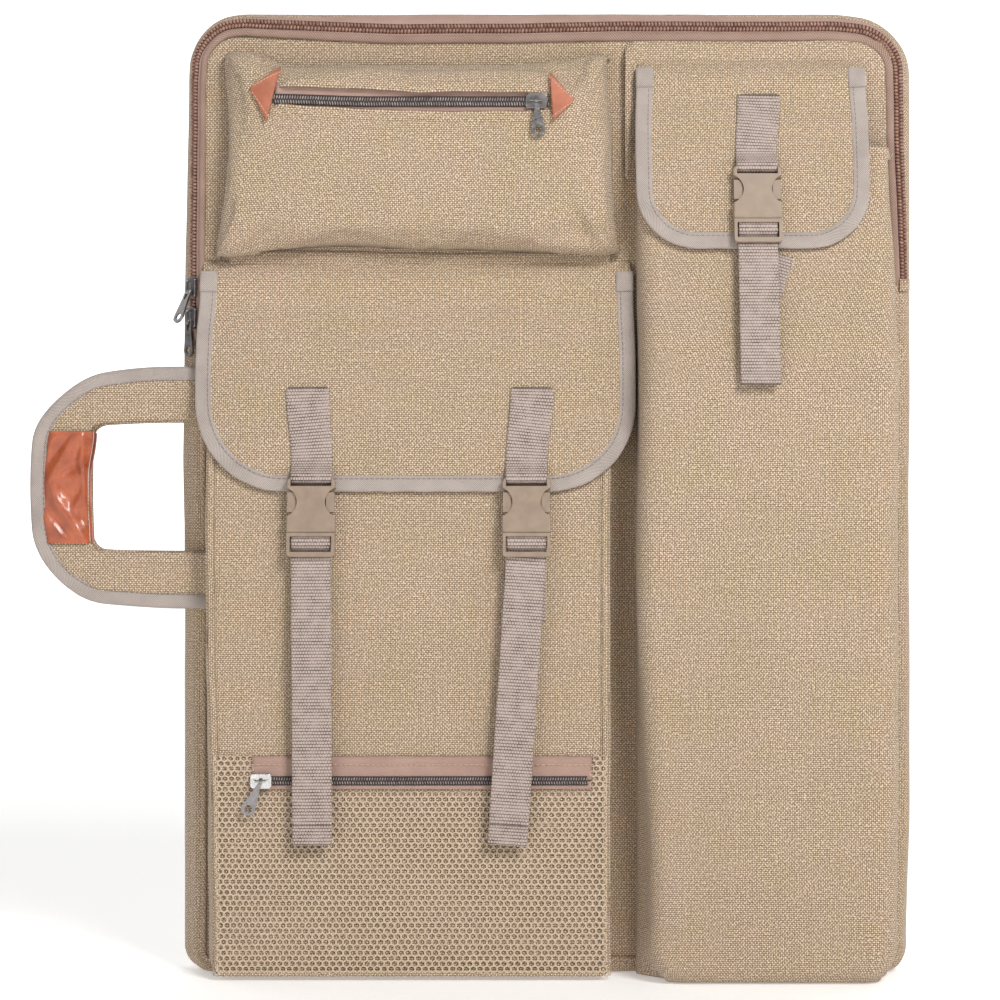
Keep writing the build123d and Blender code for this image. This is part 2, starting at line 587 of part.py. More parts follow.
def tube_pocket():
    profile = face_profile(TUBE_FLAP_ROOT, TUBE_FLAP_ANGLE, TUBE_MOUTH, TUBE_FACE_Y, 0.0)
    outer = side_block(profile, TUBE_X)
    outer = fillet(front_corners(outer), TUBE_EDGE)
    inside = Pos(0, CANVAS, 0) * side_block(profile, inset(TUBE_X, CANVAS))
    inside = fillet(front_corners(inside), TUBE_EDGE - CANVAS)
    inside &= block((-FAR, FAR), (-FAR, FAR), (CANVAS, FAR))
    back = rounded(TUBE_BACK_X, (TUBE_MOUTH, TUBE_BACK_TOP), top=6.0)
    return {
        "tube_pocket": outer - inside,
        "tube_back_layer": prism(back, (-HALF_DEPTH - TUBE_BACK_THICK, -HALF_DEPTH)),
    }


def anchors():
    """The short straps that hold the buckles' lower halves, sewn to the pockets behind the tails."""
    depth = (BIG_FACE_Y - 0.2 - WEBBING, BIG_FACE_Y)
    across = (-WEBBING_HALF, WEBBING_HALF)
    straps = [Pos(x, 0, 0) * block(across, depth, BIG_ANCHOR_Z) for x in BIG_BUCKLE_X]
    pocket_face = UNDER_FLAP * cos(radians(TUBE_FLAP_ANGLE))
    top = TUBE_FLAP_FRAME * Pos(TUBE_ANCHOR_X, pocket_face, -TUBE_ANCHOR_DROP)
    leaning = Rot(0, TUBE_ANCHOR_LEAN, 0) * block(across, (-WEBBING, 0.0), (-TUBE_ANCHOR_LENGTH, 0.0))
    return {"anchor_straps": straps[0] + straps[1] + top * leaning}


# ---- Everything ---------------------------------------------------------------------------------


def all_nodes():
    case = case_panels() | case_sides() | main_zip() | sliders() | handles()
    pockets = big_pocket() | mesh_pocket() | top_pocket() | tube_pocket() | anchors()
    return case | pockets | flap_seams() | big_flap() | tube_flap()


if __name__ == "__main__":
    os.makedirs("parts", exist_ok=True)
    for node, solid in all_nodes().items():
        export_step(solid, f"parts/{node}.step")
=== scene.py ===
import bpy
import math
import numpy as np
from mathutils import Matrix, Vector, noise
from mathutils.bvhtree import BVHTree


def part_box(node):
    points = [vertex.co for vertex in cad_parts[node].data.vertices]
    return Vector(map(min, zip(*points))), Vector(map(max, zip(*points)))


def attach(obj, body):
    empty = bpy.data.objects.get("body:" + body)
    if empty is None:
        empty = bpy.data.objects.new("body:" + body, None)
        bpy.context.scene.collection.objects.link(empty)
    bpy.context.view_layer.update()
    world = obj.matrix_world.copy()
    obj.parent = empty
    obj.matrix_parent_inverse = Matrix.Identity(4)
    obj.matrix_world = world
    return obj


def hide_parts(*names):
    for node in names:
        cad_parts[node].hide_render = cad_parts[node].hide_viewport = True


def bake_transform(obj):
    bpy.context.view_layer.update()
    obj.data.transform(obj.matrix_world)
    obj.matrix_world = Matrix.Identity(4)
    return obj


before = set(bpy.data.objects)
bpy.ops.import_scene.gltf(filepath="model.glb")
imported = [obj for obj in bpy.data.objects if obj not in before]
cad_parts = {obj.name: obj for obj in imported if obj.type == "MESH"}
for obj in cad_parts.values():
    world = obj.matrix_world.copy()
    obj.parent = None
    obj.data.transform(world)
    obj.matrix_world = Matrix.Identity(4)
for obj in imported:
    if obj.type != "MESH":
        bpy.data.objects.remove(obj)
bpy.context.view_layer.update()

# Everything below is worked out in millimetres and scaled once, when a mesh is made.
MM = 0.001


def box_mm(node):
    low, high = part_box(node)
    return np.array(low) * 1000, np.array(high) * 1000


# ---- Mesh helpers ----


def new_object(name, points, faces, loop_uv=None, smooth=True):
    mesh = bpy.data.meshes.new(name)
    mesh.from_pydata((np.asarray(points, float) * MM).tolist(), [], faces)
    if loop_uv is not None:
        layer = mesh.uv_layers.new(name="cloth")
        layer.data.foreach_set("uv", (np.asarray(loop_uv, float) * MM).astype(np.float32).ravel())
    mesh.validate()
    mesh.update()
    if smooth:
        mesh.polygons.foreach_set("use_smooth", [True] * len(mesh.polygons))
    obj = bpy.data.objects.new(name, mesh)
    bpy.context.scene.collection.objects.link(obj)
    return obj


def arc_lengths(points):
    """Distance run along a line of points."""
    steps = np.linalg.norm(np.diff(points, axis=0), axis=1)
    return np.concatenate([[0.0], np.cumsum(steps)])


def grid_data(P, uv=None, close_u=False, close_v=False):
    """Faces and loop UVs of a grid of points P[u, v]. uv has one more row or column where it closes."""
    nu, nv = P.shape[:2]
    iu = nu if close_u else nu - 1
    jv = nv if close_v else nv - 1
    i = np.arange(iu)[:, None]
    j = np.arange(jv)[None, :]
    index = np.arange(nu * nv).reshape(nu, nv)
    corners = [(i, j), (i + 1, j), (i + 1, j + 1), (i, j + 1)]
    faces = np.stack([index[a % nu, b % nv] for a, b in corners], -1).reshape(-1, 4)
    if uv is None:
        lu = np.zeros((nu + 1, nv + 1))
        lv = np.zeros((nu + 1, nv + 1))
        middle_v, middle_u = nv // 2, nu // 2
        lu[:nu] = arc_lengths(P[:, middle_v])[:, None]
        lu[nu] = lu[nu - 1] + np.linalg.norm(P[0, middle_v] - P[-1, middle_v])
        lv[:, :nv] = arc_lengths(P[middle_u])[None, :]
        lv[:, nv] = lv[:, nv - 1] + np.linalg.norm(P[middle_u, 0] - P[middle_u, -1])
        uv = np.stack([lu, lv], -1)
    loop_uv = np.stack([uv[a + 0 * b, b + 0 * a] for a, b in corners], -2).reshape(-1, 2)
    return faces, loop_uv


def even_uv(P, close_u=False):
    """UVs of a grid whose rows differ in length, each row measured for itself."""
    nu, nv = P.shape[:2]
    along = arc_lengths(P[:, nv // 2])
    across = np.concatenate([np.zeros((nu, 1)), np.cumsum(np.linalg.norm(np.diff(P, axis=1), axis=-1), 1)], 1)
    uv = pad_uv(np.stack([np.broadcast_to(along[:, None], across.shape), across], -1))
    if close_u:
        uv[nu, :, 1] = uv[0, :, 1]
        uv[nu, :, 0] += np.linalg.norm(P[0, nv // 2] - P[-1, nv // 2])
    return uv


def grid(name, P, uv=None, close_u=False, close_v=False, flip=False, caps=False):
    faces, loop_uv = grid_data(P, uv, close_u, close_v)
    faces = faces.tolist()
    loop_uv = loop_uv.tolist()
    nu, nv = P.shape[:2]
    if caps:
        first = list(range(nv))
        last = [(nu - 1) * nv + k for k in range(nv)]
        faces += [first[::-1], last]
        loop_uv += [[0.0, 0.0]] * (2 * nv)
    if flip:
        total, flipped = 0, []
        for face in faces:
            flipped += loop_uv[total:total + len(face)][::-1]
            total += len(face)
        loop_uv = flipped
        faces = [face[::-1] for face in faces]
    return new_object(name, P.reshape(-1, 3), faces, loop_uv)


def thicken(obj, thickness, offset=-1.0):
    m = obj.modifiers.new("thickness", "SOLIDIFY")
    m.thickness = thickness * MM
    m.offset = offset
    m.use_even_offset = False
    return obj


def unit(v):
    v = np.asarray(v, float)
    return v / np.maximum(np.linalg.norm(v, axis=-1, keepdims=True), 1e-12)


def resample(path, step, extra=None):
    """Even points along a path, and whatever arrays go with it."""
    path = np.asarray(path, float)
    s = arc_lengths(path)
    count = max(2, int(round(s[-1] / step)) + 1)
    t = np.linspace(0, s[-1], count)
    out = np.stack([np.interp(t, s, path[:, k]) for k in range(3)], -1)
    if extra is None:
        return out
    extra = np.asarray(extra, float)
    return out, np.stack([np.interp(t, s, extra[:, k]) for k in range(extra.shape[1])], -1)


def sweep(name, path, normal, profile, closed=False, caps=True, profile_closed=True, flip=False):
    """Runs a profile, (across, outward) pairs, along a path. profile may be one array, or one per point."""
    path = np.asarray(path, float)
    normal = np.broadcast_to(np.asarray(normal, float), path.shape)
    if closed:
        tangent = unit(np.roll(path, -1, 0) - np.roll(path, 1, 0))
    else:
        tangent = unit(np.gradient(path, axis=0))
    across = unit(np.cross(tangent, normal))
    outward = unit(np.cross(across, tangent))
    profile = np.asarray(profile, float)
    if profile.ndim == 2:
        profile = np.broadcast_to(profile, (len(path),) + profile.shape)
    P = path[:, None] + across[:, None] * profile[..., :1] + outward[:, None] * profile[..., 1:]
    return grid(name, P, None, closed, profile_closed, flip, caps and not closed)


def rope_sweep(name, path, normal, profile, twist=0.55, closed=False):
    """A swept roll of cloth whose weave runs round it on the slant, as bias-cut piping does."""
    obj = sweep(name, path, normal, profile, closed=closed)
    layer = obj.data.uv_layers["cloth"]
    uv = np.zeros(2 * len(layer.data), np.float32)
    layer.data.foreach_get("uv", uv)
    uv = uv.reshape(-1, 2)
    uv[:, 1] += twist * uv[:, 0]
    layer.data.foreach_set("uv", uv.ravel())
    return obj


def pairs(x, z):
    """A list of (x, z) places. Either may be one number."""
    return np.stack(np.broadcast_arrays(np.asarray(x, float), z), -1)


def arc(centre, radius, start, count, whole=True):
    """Places on a quarter circle from start degrees, and the way out at each. whole takes in its far end."""
    a = np.radians(start + 90 * np.arange(count) / (count - whole))
    out = pairs(np.cos(a), np.sin(a))
    return np.asarray(centre) + radius * out, out


def oval(width, height, count=12, power=2.0):
    """A closed rounded profile, squarer for a higher power."""
    t = np.linspace(0, 2 * math.pi, count, endpoint=False)
    c, s = np.cos(t), np.sin(t)
    x = np.sign(c) * np.abs(c) ** (2 / power)
    y = np.sign(s) * np.abs(s) ** (2 / power)
    return np.stack([x * width / 2, y * height / 2], -1)


def rumple(P, size, seed=0.0):
    """Smooth noise from -1 to 1 at each point. size is its bumps' spacing, one number or one per axis."""
    P = np.asarray(P, float)
    flat = (P / np.asarray(size, float) + seed).reshape(-1, P.shape[-1])
    return np.array([noise.noise(Vector(q)) for q in flat]).reshape(P.shape[:-1])


def bell(x, middle, width):
    return np.exp(-((x - middle) / width) ** 2)


def ease(x, low, high):
    t = np.clip((x - low) / (high - low), 0, 1)
    return t * t * (3 - 2 * t)


def beads(name, centres, along, normal, size, rings=5, sides=6, power=4.0):
    """Many small rounded lozenges in one mesh: stitches and zip teeth. size is (length, width, height)."""
    centres = np.asarray(centres, float)
    along = unit(np.broadcast_to(along, centres.shape))
    normal = np.broadcast_to(np.asarray(normal, float), centres.shape)
    across = unit(np.cross(along, normal))
    outward = np.cross(across, along)
    length, width, height = size
    t = np.linspace(-1, 1, rings)
    r = np.sqrt(np.clip(1 - np.abs(0.93 * t) ** power, 0, 1))
    a = np.linspace(0, 2 * math.pi, sides, endpoint=False)
    lx = (t * length / 2)[:, None] + 0 * a
    ly = r[:, None] * np.cos(a) * width / 2
    lz = r[:, None] * np.sin(a) * height / 2 - (t ** 2 * height * 0.35)[:, None]
    local = np.stack([lx, ly, lz], -1).reshape(-1, 3)
    P = (centres[:, None] + along[:, None] * local[None, :, :1] + across[:, None] * local[None, :, 1:2]
         + outward[:, None] * local[None, :, 2:])
    # one bead's faces, backwards so that they face out, and the same for every bead
    ring = np.arange(sides)
    after = (ring + 1) % sides
    walls = [np.stack([first + sides + ring, first + sides + after, first + after, first + ring], -1)
             for first in range(0, (rings - 1) * sides, sides)]
    ends = np.array([ring, (rings - 1) * sides + ring[::-1]])
    starts = (np.arange(len(centres)) * rings * sides)[:, None, None]
    quads = (np.concatenate(walls) + starts).reshape(-1, 4).tolist()
    caps = (ends + starts).reshape(-1, sides).tolist()
    return new_object(name, P.reshape(-1, 3), quads + caps)


# Pitch of a row of stitches, and each stitch's length, width and height
SHORT_STITCH = (2.6, (1.9, 0.5, 0.4))
EDGE_STITCH = (3.4, (2.5, 0.5, 0.4))


def stitch_line(name, path, normal, pitch=3.6, size=(2.7, 0.62, 0.5), lift=0.12):
    """A row of stitches along a path that lies on cloth."""
    path, normal = resample(path, pitch, np.broadcast_to(normal, np.shape(path)))
    along = unit(np.gradient(path, axis=0))
    return beads(name, path + unit(normal) * lift, along, normal, size)


# ---- Materials ----


def srgb(r, g, b):
    """Linear colour of an 8-bit screen colour."""
    def one(c):
        c = c / 255
        return c / 12.92 if c <= 0.04045 else ((c + 0.055) / 1.055) ** 2.4
    return (one(r), one(g), one(b), 1.0)


class Value:
    """A number in a node tree. Arithmetic with it adds the nodes that work it out."""

    def __init__(self, nodes, socket):
        self.nodes, self.socket = nodes, socket

    def __add__(self, other):
        return self.nodes.math("ADD", self, other)

    def __sub__(self, other):
        return self.nodes.math("SUBTRACT", self, other)

    def __mul__(self, other):
        return self.nodes.math("MULTIPLY", self, other)

    def __truediv__(self, other):
        return self.nodes.math("DIVIDE", self, other)


class Nodes:
    """A short way to write a node tree."""

    def __init__(self, name):
        self.material = bpy.data.materials.new(name)
        self.material.use_nodes = True
        self.tree = self.material.node_tree
        self.tree.nodes.clear()
        self.shader = self.add("BsdfPrincipled")
        self.tree.links.new(self.shader.outputs[0], self.add("OutputMaterial").inputs[0])

    def add(self, kind, **inputs):
        """A node, with its inputs set by name. Underscores in a name stand for spaces."""
        node = self.tree.nodes.new("ShaderNode" + kind)
        for key, value in inputs.items():
            self.set(node.inputs[key.replace("_", " ")], value)
        return node

    def set(self, socket, value):
        value = getattr(value, "socket", value)
        if hasattr(value, "is_linked"):
            self.tree.links.new(value, socket)
        else:
            socket.default_value = value

    def math(self, operation, a, b=0.0):
        node = self.add("Math")
        node.operation = operation
        self.set(node.inputs[0], a)
        self.set(node.inputs[1], b)
        return Value(self, node.outputs[0])

    def sine(self, value):
        return self.math("SINE", value)

    def mix(self, factor, a, b, blend="MIX"):
        node = self.add("Mix")
        node.data_type = "RGBA"
        node.blend_type = blend
        self.set(node.inputs["Factor"], factor)
        self.set(node.inputs[6], a)
        self.set(node.inputs[7], b)
        return node.outputs[2]

    def noise(self, vector, scale, detail=2.0, rough=0.5):
        """Noise from 0 to 1. scale is one number, or one per axis."""
        if isinstance(scale, tuple):
            stretch = self.add("VectorMath")
            stretch.operation = "MULTIPLY"
            self.set(stretch.inputs[0], vector)
            self.set(stretch.inputs[1], scale)
            vector, scale = stretch.outputs[0], 1.0
        node = self.add("TexNoise", Vector=vector, Scale=scale, Detail=detail, Roughness=rough)
        return Value(self, node.outputs["Fac"])

    def range(self, value, a, b, c=0.0, d=1.0):
        """c to d, as value goes from a to b."""
        node = self.add("MapRange", Value=value, From_Min=a, From_Max=b, To_Min=c, To_Max=d)
        return Value(self, node.outputs[0])

    def uv(self):
        node = self.add("UVMap")
        node.uv_map = "cloth"
        return node.outputs[0]

    def across_and_along(self):
        parts = self.add("SeparateXYZ", Vector=self.uv()).outputs
        return Value(self, parts[0]), Value(self, parts[1])

    def place(self):
        return self.add("TexCoord").outputs["Object"]

    def bump(self, height, distance):
        return self.add("Bump", Height=height, Distance=distance, Strength=1.0).outputs[0]

    def finish(self, colour, rough, normal=None, metallic=0.0, sheen=0.0, coat=0.0, specular=0.5):
        values = {"Base Color": colour, "Roughness": rough, "Metallic": metallic, "Sheen Weight": sheen,
                  "Sheen Roughness": 0.6, "Coat Weight": coat, "Specular IOR Level": specular}
        for key, value in values.items():
            self.set(self.shader.inputs[key], value)
        if normal is not None:
            self.set(self.shader.inputs["Normal"], normal)
        return self.material


def shaded(colour, share):
    """A colour made darker, or paler where share is over 1."""
    return tuple(min(1.0, c * share) for c in colour[:3]) + (1.0,)


def woven(name, light, middle, dark, pitch=(0.00113, 0.00128), depth=0.00020):
    """Plain weave: two sets of threads that pass over and under each other, one paler than the other."""
    n = Nodes(name)
    u, v = n.across_and_along()
    # no thread runs quite straight
    u = u + (n.noise(n.uv(), 55.0, 1.0) - 0.5) * 0.0016
    v = v + (n.noise(n.uv(), 38.0, 1.0) - 0.5) * 0.0016
    cross = n.sine(u * (math.pi / pitch[0])) * n.sine(v * (math.pi / pitch[1]))
    over, under = n.range(cross, 0.08, 0.85), n.range(cross, -0.08, -0.85)
    height = n.math("MAXIMUM", over, under * 0.8)
    fleck = n.noise(n.uv(), (700, 700, 1), 0.0)
    colour = n.mix(n.range(height + fleck * 0.45, 0.15, 0.75), dark, middle)
    colour = n.mix(n.range(over + (fleck - 0.5) * 1.3, 0.12, 0.8), colour, light)
    # broad patches of a warmer and a cooler tint, and threads that vary in shade along their length
    patch = n.noise(n.place(), 22.0, 3.0, 0.6)
    tint = n.mix(n.range(patch, 0.35, 0.65), (1.0, 0.985, 0.93, 1), (1.0, 0.965, 0.985, 1))
    colour = n.mix(1.0, colour, tint, "MULTIPLY")
    slub = (n.noise(n.uv(), (14, 800, 1), 1.0) + n.noise(n.uv(), (900, 14, 1), 1.0)) * 0.5
    shade = n.range(slub + patch * 0.35, 0.45, 0.9, 0.9, 1.1)
    grey = n.add("CombineColor", Red=shade, Green=shade, Blue=shade).outputs[0]
    colour = n.mix(1.0, colour, grey, "MULTIPLY")
    fuzz = n.noise(n.place(), 2600.0, 1.0)
    return n.finish(colour, 0.92, n.bump(height + fuzz * 0.25, depth), sheen=0.12, specular=0.2)


def twill(name, light, dark, pitch):
    """Narrow diagonal ribs, for binding and zip tape."""
    n = Nodes(name)
    u, v = n.across_and_along()
    diagonal = u + v + n.noise(n.uv(), 90.0, 1.0) * 0.0008
    rib = n.sine(diagonal * (2 * math.pi / pitch)) * 0.5 + 0.5
    height = rib + n.sine((u - v) * (2 * math.pi / (pitch * 0.8))) * 0.22
    mottle = n.noise(n.place(), 60.0) + n.noise(n.uv(), (1500, 1500, 1), 1.0)
    colour = n.mix(n.range(height * 0.45 + mottle * 0.38, 0.1, 0.85), dark, light)
    return n.finish(colour, 0.85, n.bump(height, 0.0002), sheen=0.1, specular=0.25)


def ribbed(name, light, dark, pitch=(0.0018, 0.0021)):
    """Webbing: cross ribs, each a row of rounded picks, v along the strap and u across it."""
    n = Nodes(name)
    u, v = n.across_and_along()
    row = n.math("FLOOR", v / pitch[1])
    rib = n.math("ABSOLUTE", n.sine(v * (math.pi / pitch[1])))
    # every other row is half a pick along
    shifted = u + n.math("MODULO", row, 2.0) * (pitch[0] / 2)
    pick = n.sine(shifted * (2 * math.pi / pitch[0])) * 0.5 + 0.5
    height = n.math("POWER", rib, 0.75) * (pick * 0.6 + 0.4)
    mottle = n.noise(n.place(), 120.0) + n.noise(n.uv(), (900, 650, 1), 1.0)
    colour = n.mix(n.range(height + (mottle - 1.0) * 0.5, 0.0, 0.62), dark, light)
    return n.finish(colour, 0.7, n.bump(height, 0.0003), sheen=0.1, specular=0.35)


def leather(name, light, dark, rough, coat):
    n = Nodes(name)
    place = n.place()
    cells = n.add("TexVoronoi")
    cells.feature = "DISTANCE_TO_EDGE"
    n.set(cells.inputs["Scale"], 900.0)
    n.set(cells.inputs["Vector"], place)
    pores = n.range(cells.outputs["Distance"], 0.0, 0.25)
    broad, fine = n.noise(place, 70.0, 4.0, 0.6), n.noise(place, 700.0, 3.0)
    colour = n.mix(n.range(broad, 0.3, 0.72), dark, light)
    colour = n.mix(n.range(pores, 0.0, 1.0, 0.35, 0.0), colour, dark)
    roughness = n.range(broad + fine * 0.4, 0.4, 1.0, rough, rough + 0.2)
    return n.finish(colour, roughness, n.bump(pores * 0.6 + fine * 0.5, 0.00008), coat=coat)


def plastic(name, colour, rough):
    n = Nodes(name)
    broad, fine = n.noise(n.place(), 160.0, 3.0), n.noise(n.place(), 2500.0)
    shade = n.mix(n.range(broad, 0.3, 0.7), shaded(colour, 0.82), colour)
    roughness = n.range(broad, 0.3, 0.7, rough, rough + 0.12)
    return n.finish(shade, roughness, n.bump(broad * 0.3 + fine, 0.00003), coat=0.04)


def metal(name, colour, rough=0.24):
    """Plated metal, worn paler in patches and finely scratched."""
    n = Nodes(name)
    broad, scratch = n.noise(n.place(), 260.0, 4.0, 0.65), n.noise(n.place(), (400, 400, 6000))
    shade = n.mix(n.range(broad, 0.45, 0.75), colour, shaded(colour, 1.5))
    roughness = n.range(broad, 0.3, 0.7, rough, rough + 0.16)
    return n.finish(shade, roughness, n.bump(scratch * 0.4 + broad, 0.00003), metallic=1.0)


def coil_plastic(name, light, dark):
    n = Nodes(name)
    broad, fine = n.noise(n.place(), 300.0), n.noise(n.place(), 3000.0, 1.0)
    colour = n.mix(n.range(broad, 0.3, 0.7), dark, light)
    return n.finish(colour, n.range(fine, 0.3, 0.7, 0.3, 0.45), n.bump(fine, 0.00003), coat=0.1)


def plain_thread(name, colour):
    n = Nodes(name)
    fine = n.noise(n.place(), 1800.0)
    shade = n.mix(n.range(fine, 0.3, 0.7), shaded(colour, 0.6), colour)
    return n.finish(shade, 0.75, n.bump(fine, 0.00008), sheen=0.1)


CANVAS = woven("canvas", srgb(233, 219, 197), srgb(184, 161, 134), srgb(102, 78, 55))
LINING = woven("lining", srgb(120, 100, 80), srgb(100, 82, 64), srgb(60, 46, 34), (0.0005, 0.0005), 0.00008)
BINDING = twill("binding_twill", srgb(198, 186, 178), srgb(116, 103, 97), 0.0013)
TAPE = twill("zip_tape_weave", srgb(200, 168, 154), srgb(136, 104, 92), 0.0011)
WELT = twill("welt_weave", srgb(176, 148, 134), srgb(102, 76, 62), 0.0022)
WEBBING = ribbed("webbing_weave", srgb(188, 170, 161), srgb(56, 42, 38))
LEATHER = leather("leather_grip", srgb(200, 106, 66), srgb(150, 70, 38), 0.24, 0.4)
PATCH = leather("leather_patch", srgb(198, 126, 98), srgb(160, 92, 66), 0.5, 0.05)
BUCKLE = plastic("buckle_plastic", srgb(158, 137, 119), 0.42)
GUNMETAL = metal("gunmetal", srgb(150, 146, 146))
NICKEL = metal("nickel", srgb(214, 212, 210), 0.16)
COIL = coil_plastic("coil_brown", srgb(168, 130, 114), srgb(124, 88, 74))
# painted shade: the dark seen between the main zip's teeth, given as the colour of the cord under them
CORD_PAINTED_SHADE = plain_thread("cord_painted_shade", srgb(74, 42, 32))
DARK_COIL = coil_plastic("coil_dark", srgb(168, 156, 152), srgb(104, 92, 88))
# painted shade: the dark in the gaps between the mesh and top zips' teeth
GAP_SHADE_PAINT = plain_thread("gap_painted_shade", srgb(46, 36, 34))
THREAD = plain_thread("thread_tan", srgb(196, 178, 148))
TAUPE_THREAD = plain_thread("thread_taupe", srgb(150, 136, 126))
PALE_THREAD = plain_thread("thread_pale", srgb(232, 196, 168))
MESH = plain_thread("mesh_thread", srgb(218, 194, 168))


def paint(obj, material):
    obj.data.materials.clear()
    obj.data.materials.append(material)
    return obj


def piece(obj, material, body="case", replaces=()):
    paint(obj, material)
    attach(obj, body)
    if replaces:
        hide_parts(*replaces)
    return obj


def case_cloth(name, P, thickness, material=CANVAS, uv=None, offset=-1.0, replaces=(),
               close_u=False, flip=False):
    """A grid of points as a piece of cloth that belongs to the case."""
    obj = grid(name, P, uv, close_u=close_u, flip=flip)
    thicken(obj, thickness, offset)
    return piece(obj, material, replaces=replaces)


# ---- The case: a rounded rectangle, described by how far round it, how far in from its side, and depth ----

gusset_high = box_mm("gusset")[1]
HALF = gusset_high[0]
TALL = gusset_high[2]
FRONT = box_mm("front_panel")[0][1]
BACK = box_mm("back_panel")[1][1]
TOP_R, BOTTOM_R = 34.0, 18.0
LEFT_TOP_R, LEFT_BOTTOM_R = 28.0, 14.0
EDGE_R = 8.0
ARC_Y = FRONT + EDGE_R
QUARTER = EDGE_R * math.pi / 2
ZIP_LEFT = box_mm("main_zip_end_stops")[0][2] + 5.0
ZIP_RIGHT = 459.0


def rim_points(step=3.0):
    """Round the rim: each point's x and z on the case's own surface, and the direction out."""
    hw, h = HALF, TALL
    runs = []

    def straight(a, b, out):
        a, b = np.array(a, float), np.array(b, float)
        n = max(2, int(np.linalg.norm(b - a) / step))
        for k in range(n):
            runs.append((*(a + (b - a) * k / n), *out))

    def corner(centre, radius, start):
        n = max(6, int(radius * math.pi / 2 / step * 1.6))
        for k in range(n):
            a = math.radians(start + 90 * k / n)
            out = (math.cos(a), math.sin(a))
            runs.append((centre[0] + radius * out[0], centre[1] + radius * out[1], *out))

    straight((0, 0), (hw - BOTTOM_R, 0), (0, -1))
    corner((hw - BOTTOM_R, BOTTOM_R), BOTTOM_R, -90)
    straight((hw, BOTTOM_R), (hw, h - TOP_R), (1, 0))
    corner((hw - TOP_R, h - TOP_R), TOP_R, 0)
    straight((hw - TOP_R, h), (-hw + LEFT_TOP_R, h), (0, 1))
    corner((-hw + LEFT_TOP_R, h - LEFT_TOP_R), LEFT_TOP_R, 90)
    straight((-hw, h - LEFT_TOP_R), (-hw, LEFT_BOTTOM_R), (-1, 0))
    corner((-hw + LEFT_BOTTOM_R, LEFT_BOTTOM_R), LEFT_BOTTOM_R, 180)
    straight((-hw + LEFT_BOTTOM_R, 0), (0, 0), (0, -1))
    return np.array(runs)


RIM = rim_points()
RIM_X, RIM_Z = RIM[:, 0], RIM[:, 1]
ALL_RIM = np.arange(len(RIM))


def rim_wave(x, z):
    """How far the rim is pushed out: sewn canvas never runs quite straight, and the top bows up."""
    free = ease(z, 15, 90)
    points = np.stack([x, z, 0 * x], -1)
    wave = free * (0.7 * rumple(points, 95.0, 3.1) + 0.35 * rumple(points, 38.0, 8.2))
    bow = 5.2 * ease(x, -238, -200) * (1 - ease(x, 185, 235)) * ease(z, 600, 632)
    taper = 4.0 * ease(x, 150, 235) * (1 - ease(z, 5, 115)) * ease(z, 0, 22)
    return wave + bow - taper


RIM_WAVE = rim_wave(RIM_X, RIM_Z)


def rim_line(inset, y, index=ALL_RIM, wave=1.0):
    """Points round the rim at an inset and a depth, each one number or one per rim point."""
    inset = np.broadcast_to(inset, RIM_X.shape)[index] - RIM_WAVE[index] * wave
    y = np.broadcast_to(y, RIM_X.shape)[index]
    out = RIM[index, 2:]
    return np.stack([RIM_X[index] - out[:, 0] * inset, y, RIM_Z[index] - out[:, 1] * inset], -1)


def edge_at(s, lift=0.0):
    """Inset and depth a distance s past where the front edge starts to turn: round it and on to the front."""
    a = np.minimum(s / EDGE_R, math.pi / 2)
    r = EDGE_R + lift
    return EDGE_R - r * np.cos(a) + np.maximum(s - QUARTER, 0), ARC_Y - r * np.sin(a)


WITH_ZIP = ((RIM_X < 0) & (RIM_Z >= ZIP_LEFT)) | ((RIM_X >= 0) & (RIM_Z >= ZIP_RIGHT))
ZIP_INDEX = np.nonzero(WITH_ZIP)[0]
BAND_INDEX = np.concatenate([np.arange(ZIP_INDEX[-1], len(RIM)), np.arange(0, ZIP_INDEX[0] + 1)])

# How far round the front edge the zip lies: at an x and z on the rim, where the canvas stops, the coil, and
# the welt. It creeps on to the front along the top and down the right.
ZIP_COURSE = (
    (240, 459, 5.0, 8.1, 14.6),
    (240, 500, 6.5, 9.8, 16.0),
    (240, 557, 9.0, 12.2, 18.0),
    (230, 625, 9.0, 12.8, 18.8),
    (206, 635, 8.0, 13.8, 20.2),
    (150, 635, 6.2, 14.0, 20.6),
    (46, 635, 3.8, 14.0, 20.8),
    (-20, 635, 3.6, 15.2, 22.0),
    (-100, 635, 3.6, 15.6, 22.6),
    (-140, 635, 5.2, 14.2, 20.8),
    (-173, 635, 7.4, 13.0, 19.2),
    (-206, 635, 7.6, 11.8, 17.6),
    (-235, 618, 5.6, 9.4, 15.4),
    (-240, 588, 3.2, 6.3, 13.0),
    (-240, 400, 3.2, 6.3, 13.0),
)


def zip_course():
    """The course at every rim point, with its kinks smoothed away."""
    keys = [int(np.argmin((RIM_X - x) ** 2 + (RIM_Z - z) ** 2)) for x, z, *_ in ZIP_COURSE]
    course = [np.interp(ALL_RIM, keys, [row[k] for row in ZIP_COURSE]) for k in (2, 3, 4)]
    for _ in range(8):
        course = [(np.roll(c, 1) + c + np.roll(c, -1)) / 3 for c in course]
    return course


CANVAS_END, COIL_AT, WELT_AT = zip_course()


# The left side's canvas is loose, and bulges by this much half way across its depth.
SIDE_BULGE = np.interp(RIM_Z, (0, 14, 300, 345, 480, 560, 600, 635), (3.5, 6.4, 6.6, 7.4, 5.8, 4.2, 3.4, 1.0))


def tape_lift(s):
    return 0.2 + 0.9 * ease(s, 7, 13)


# Depths of the side canvas's back edge and of the back piping
SIDE_BACK, BACK_PIPING = 17.6, 18.4


